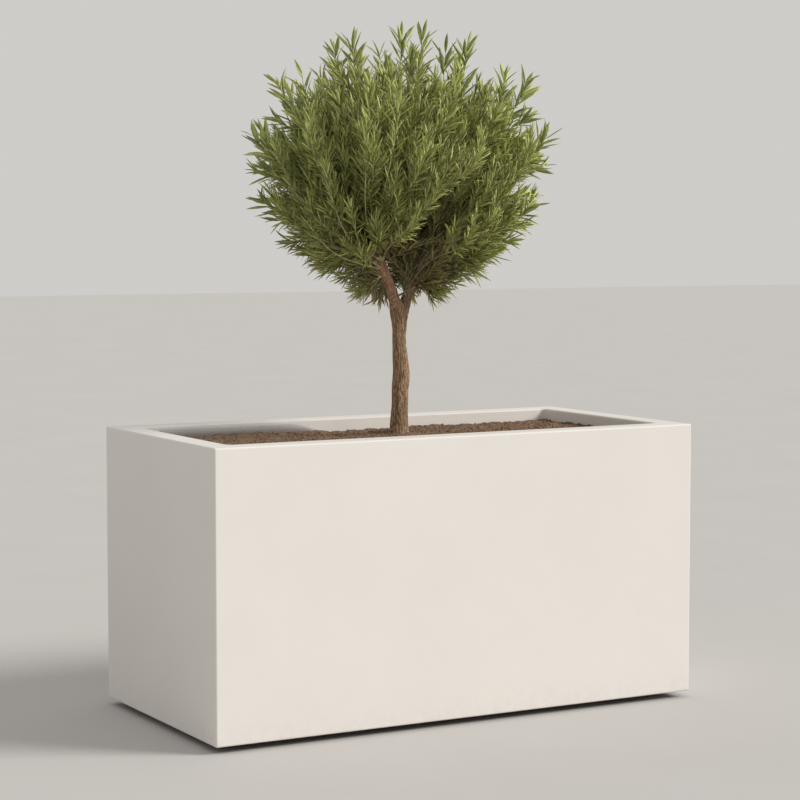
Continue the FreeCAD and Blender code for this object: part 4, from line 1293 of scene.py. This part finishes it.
def make_floor():
    finish = Finish("floor", Roughness=0.9, Specular_IOR_Level=0.2)
    patches = finish.group(MOTTLE, Scale=2.0, Dark=opaque([0.97 * part for part in FLOOR_COLOUR]),
                           Light=opaque(FLOOR_COLOUR))
    finish.feed("Base Color", patches.outputs["Color"])
    reach = FLOOR_REACH
    corners = [(-reach, -reach, 0), (reach, -reach, 0), (reach, reach, 0), (-reach, reach, 0)]
    floor = new_object("floor", mesh_from("floor", corners, [(0, 1, 2, 3)]))
    floor.data.materials.append(finish.material)


def make_world():
    """Even light from all round; what the camera, gloss and glass see of it is the pale background."""
    world = bpy.data.worlds.new("studio")
    world.use_nodes = True
    tree = world.node_tree
    tree.nodes.clear()
    path = tree.nodes.new("ShaderNodeLightPath")
    seen = math_node(tree, "MAXIMUM", path.outputs["Is Camera Ray"], path.outputs["Is Glossy Ray"])
    seen = math_node(tree, "MAXIMUM", seen, path.outputs["Is Transmission Ray"])
    light = add_node(tree, "ShaderNodeBackground", {
        "Color": opaque((1.0, 1.0, 1.0)), "Strength": WORLD_LIGHT})
    shown = add_node(tree, "ShaderNodeBackground", {"Color": opaque(BACKGROUND), "Strength": 1.0})
    both = add_node(tree, "ShaderNodeMixShader", {0: seen, 1: light.outputs[0], 2: shown.outputs[0]})
    out = tree.nodes.new("ShaderNodeOutputWorld")
    tree.links.new(both.outputs[0], out.inputs["Surface"])
    bpy.context.scene.world = world


def make_key_light():
    """A broad soft light of one direction, even over the whole stage."""
    lamp = bpy.data.lights.new("key", "SUN")
    lamp.angle = KEY_SPREAD
    lamp.energy = KEY_STRENGTH
    lamp.color = KEY_COLOUR
    holder = new_object("key", lamp)
    holder.rotation_mode = "QUATERNION"
    holder.rotation_quaternion = (-KEY_FROM).to_track_quat("-Z", "Y")


def make_camera():
    camera = new_object("camera", bpy.data.cameras.new("camera"))
    camera.data.sensor_width = SENSOR_WIDTH
    camera.data.lens = CAMERA_LENS
    camera.data.clip_end = CAMERA_SIGHT
    camera.location = CAMERA_PLACE
    ahead = Vector((-math.sin(CAMERA_TURN) * math.cos(CAMERA_PITCH),
                    math.cos(CAMERA_TURN) * math.cos(CAMERA_PITCH), math.sin(CAMERA_PITCH)))
    camera.rotation_mode = "QUATERNION"
    camera.rotation_quaternion = ahead.to_track_quat("-Z", "Y")
    bpy.context.scene.camera = camera


def build():
    make_camera()
    make_world()
    make_key_light()
    make_floor()
    bpy.context.scene.view_settings.view_transform = "Standard"
    dress_cad_nodes()

    soil = make_soil()
    crumbs = make_crumbs(soil)
    settle(soil, "planting", "soil", "soil", "root_ball")
    settle(crumbs, "planting", "soil")
    fleece, flat, area = make_fleece()
    settle(fleece, "planting", "fleece", "filter_fleece")
    settle(make_wood(), "planting", "bark", "tree_trunk")
    for bough in make_boughs():
        settle(bough, "planting", "leaves", "tree_crown")


build()
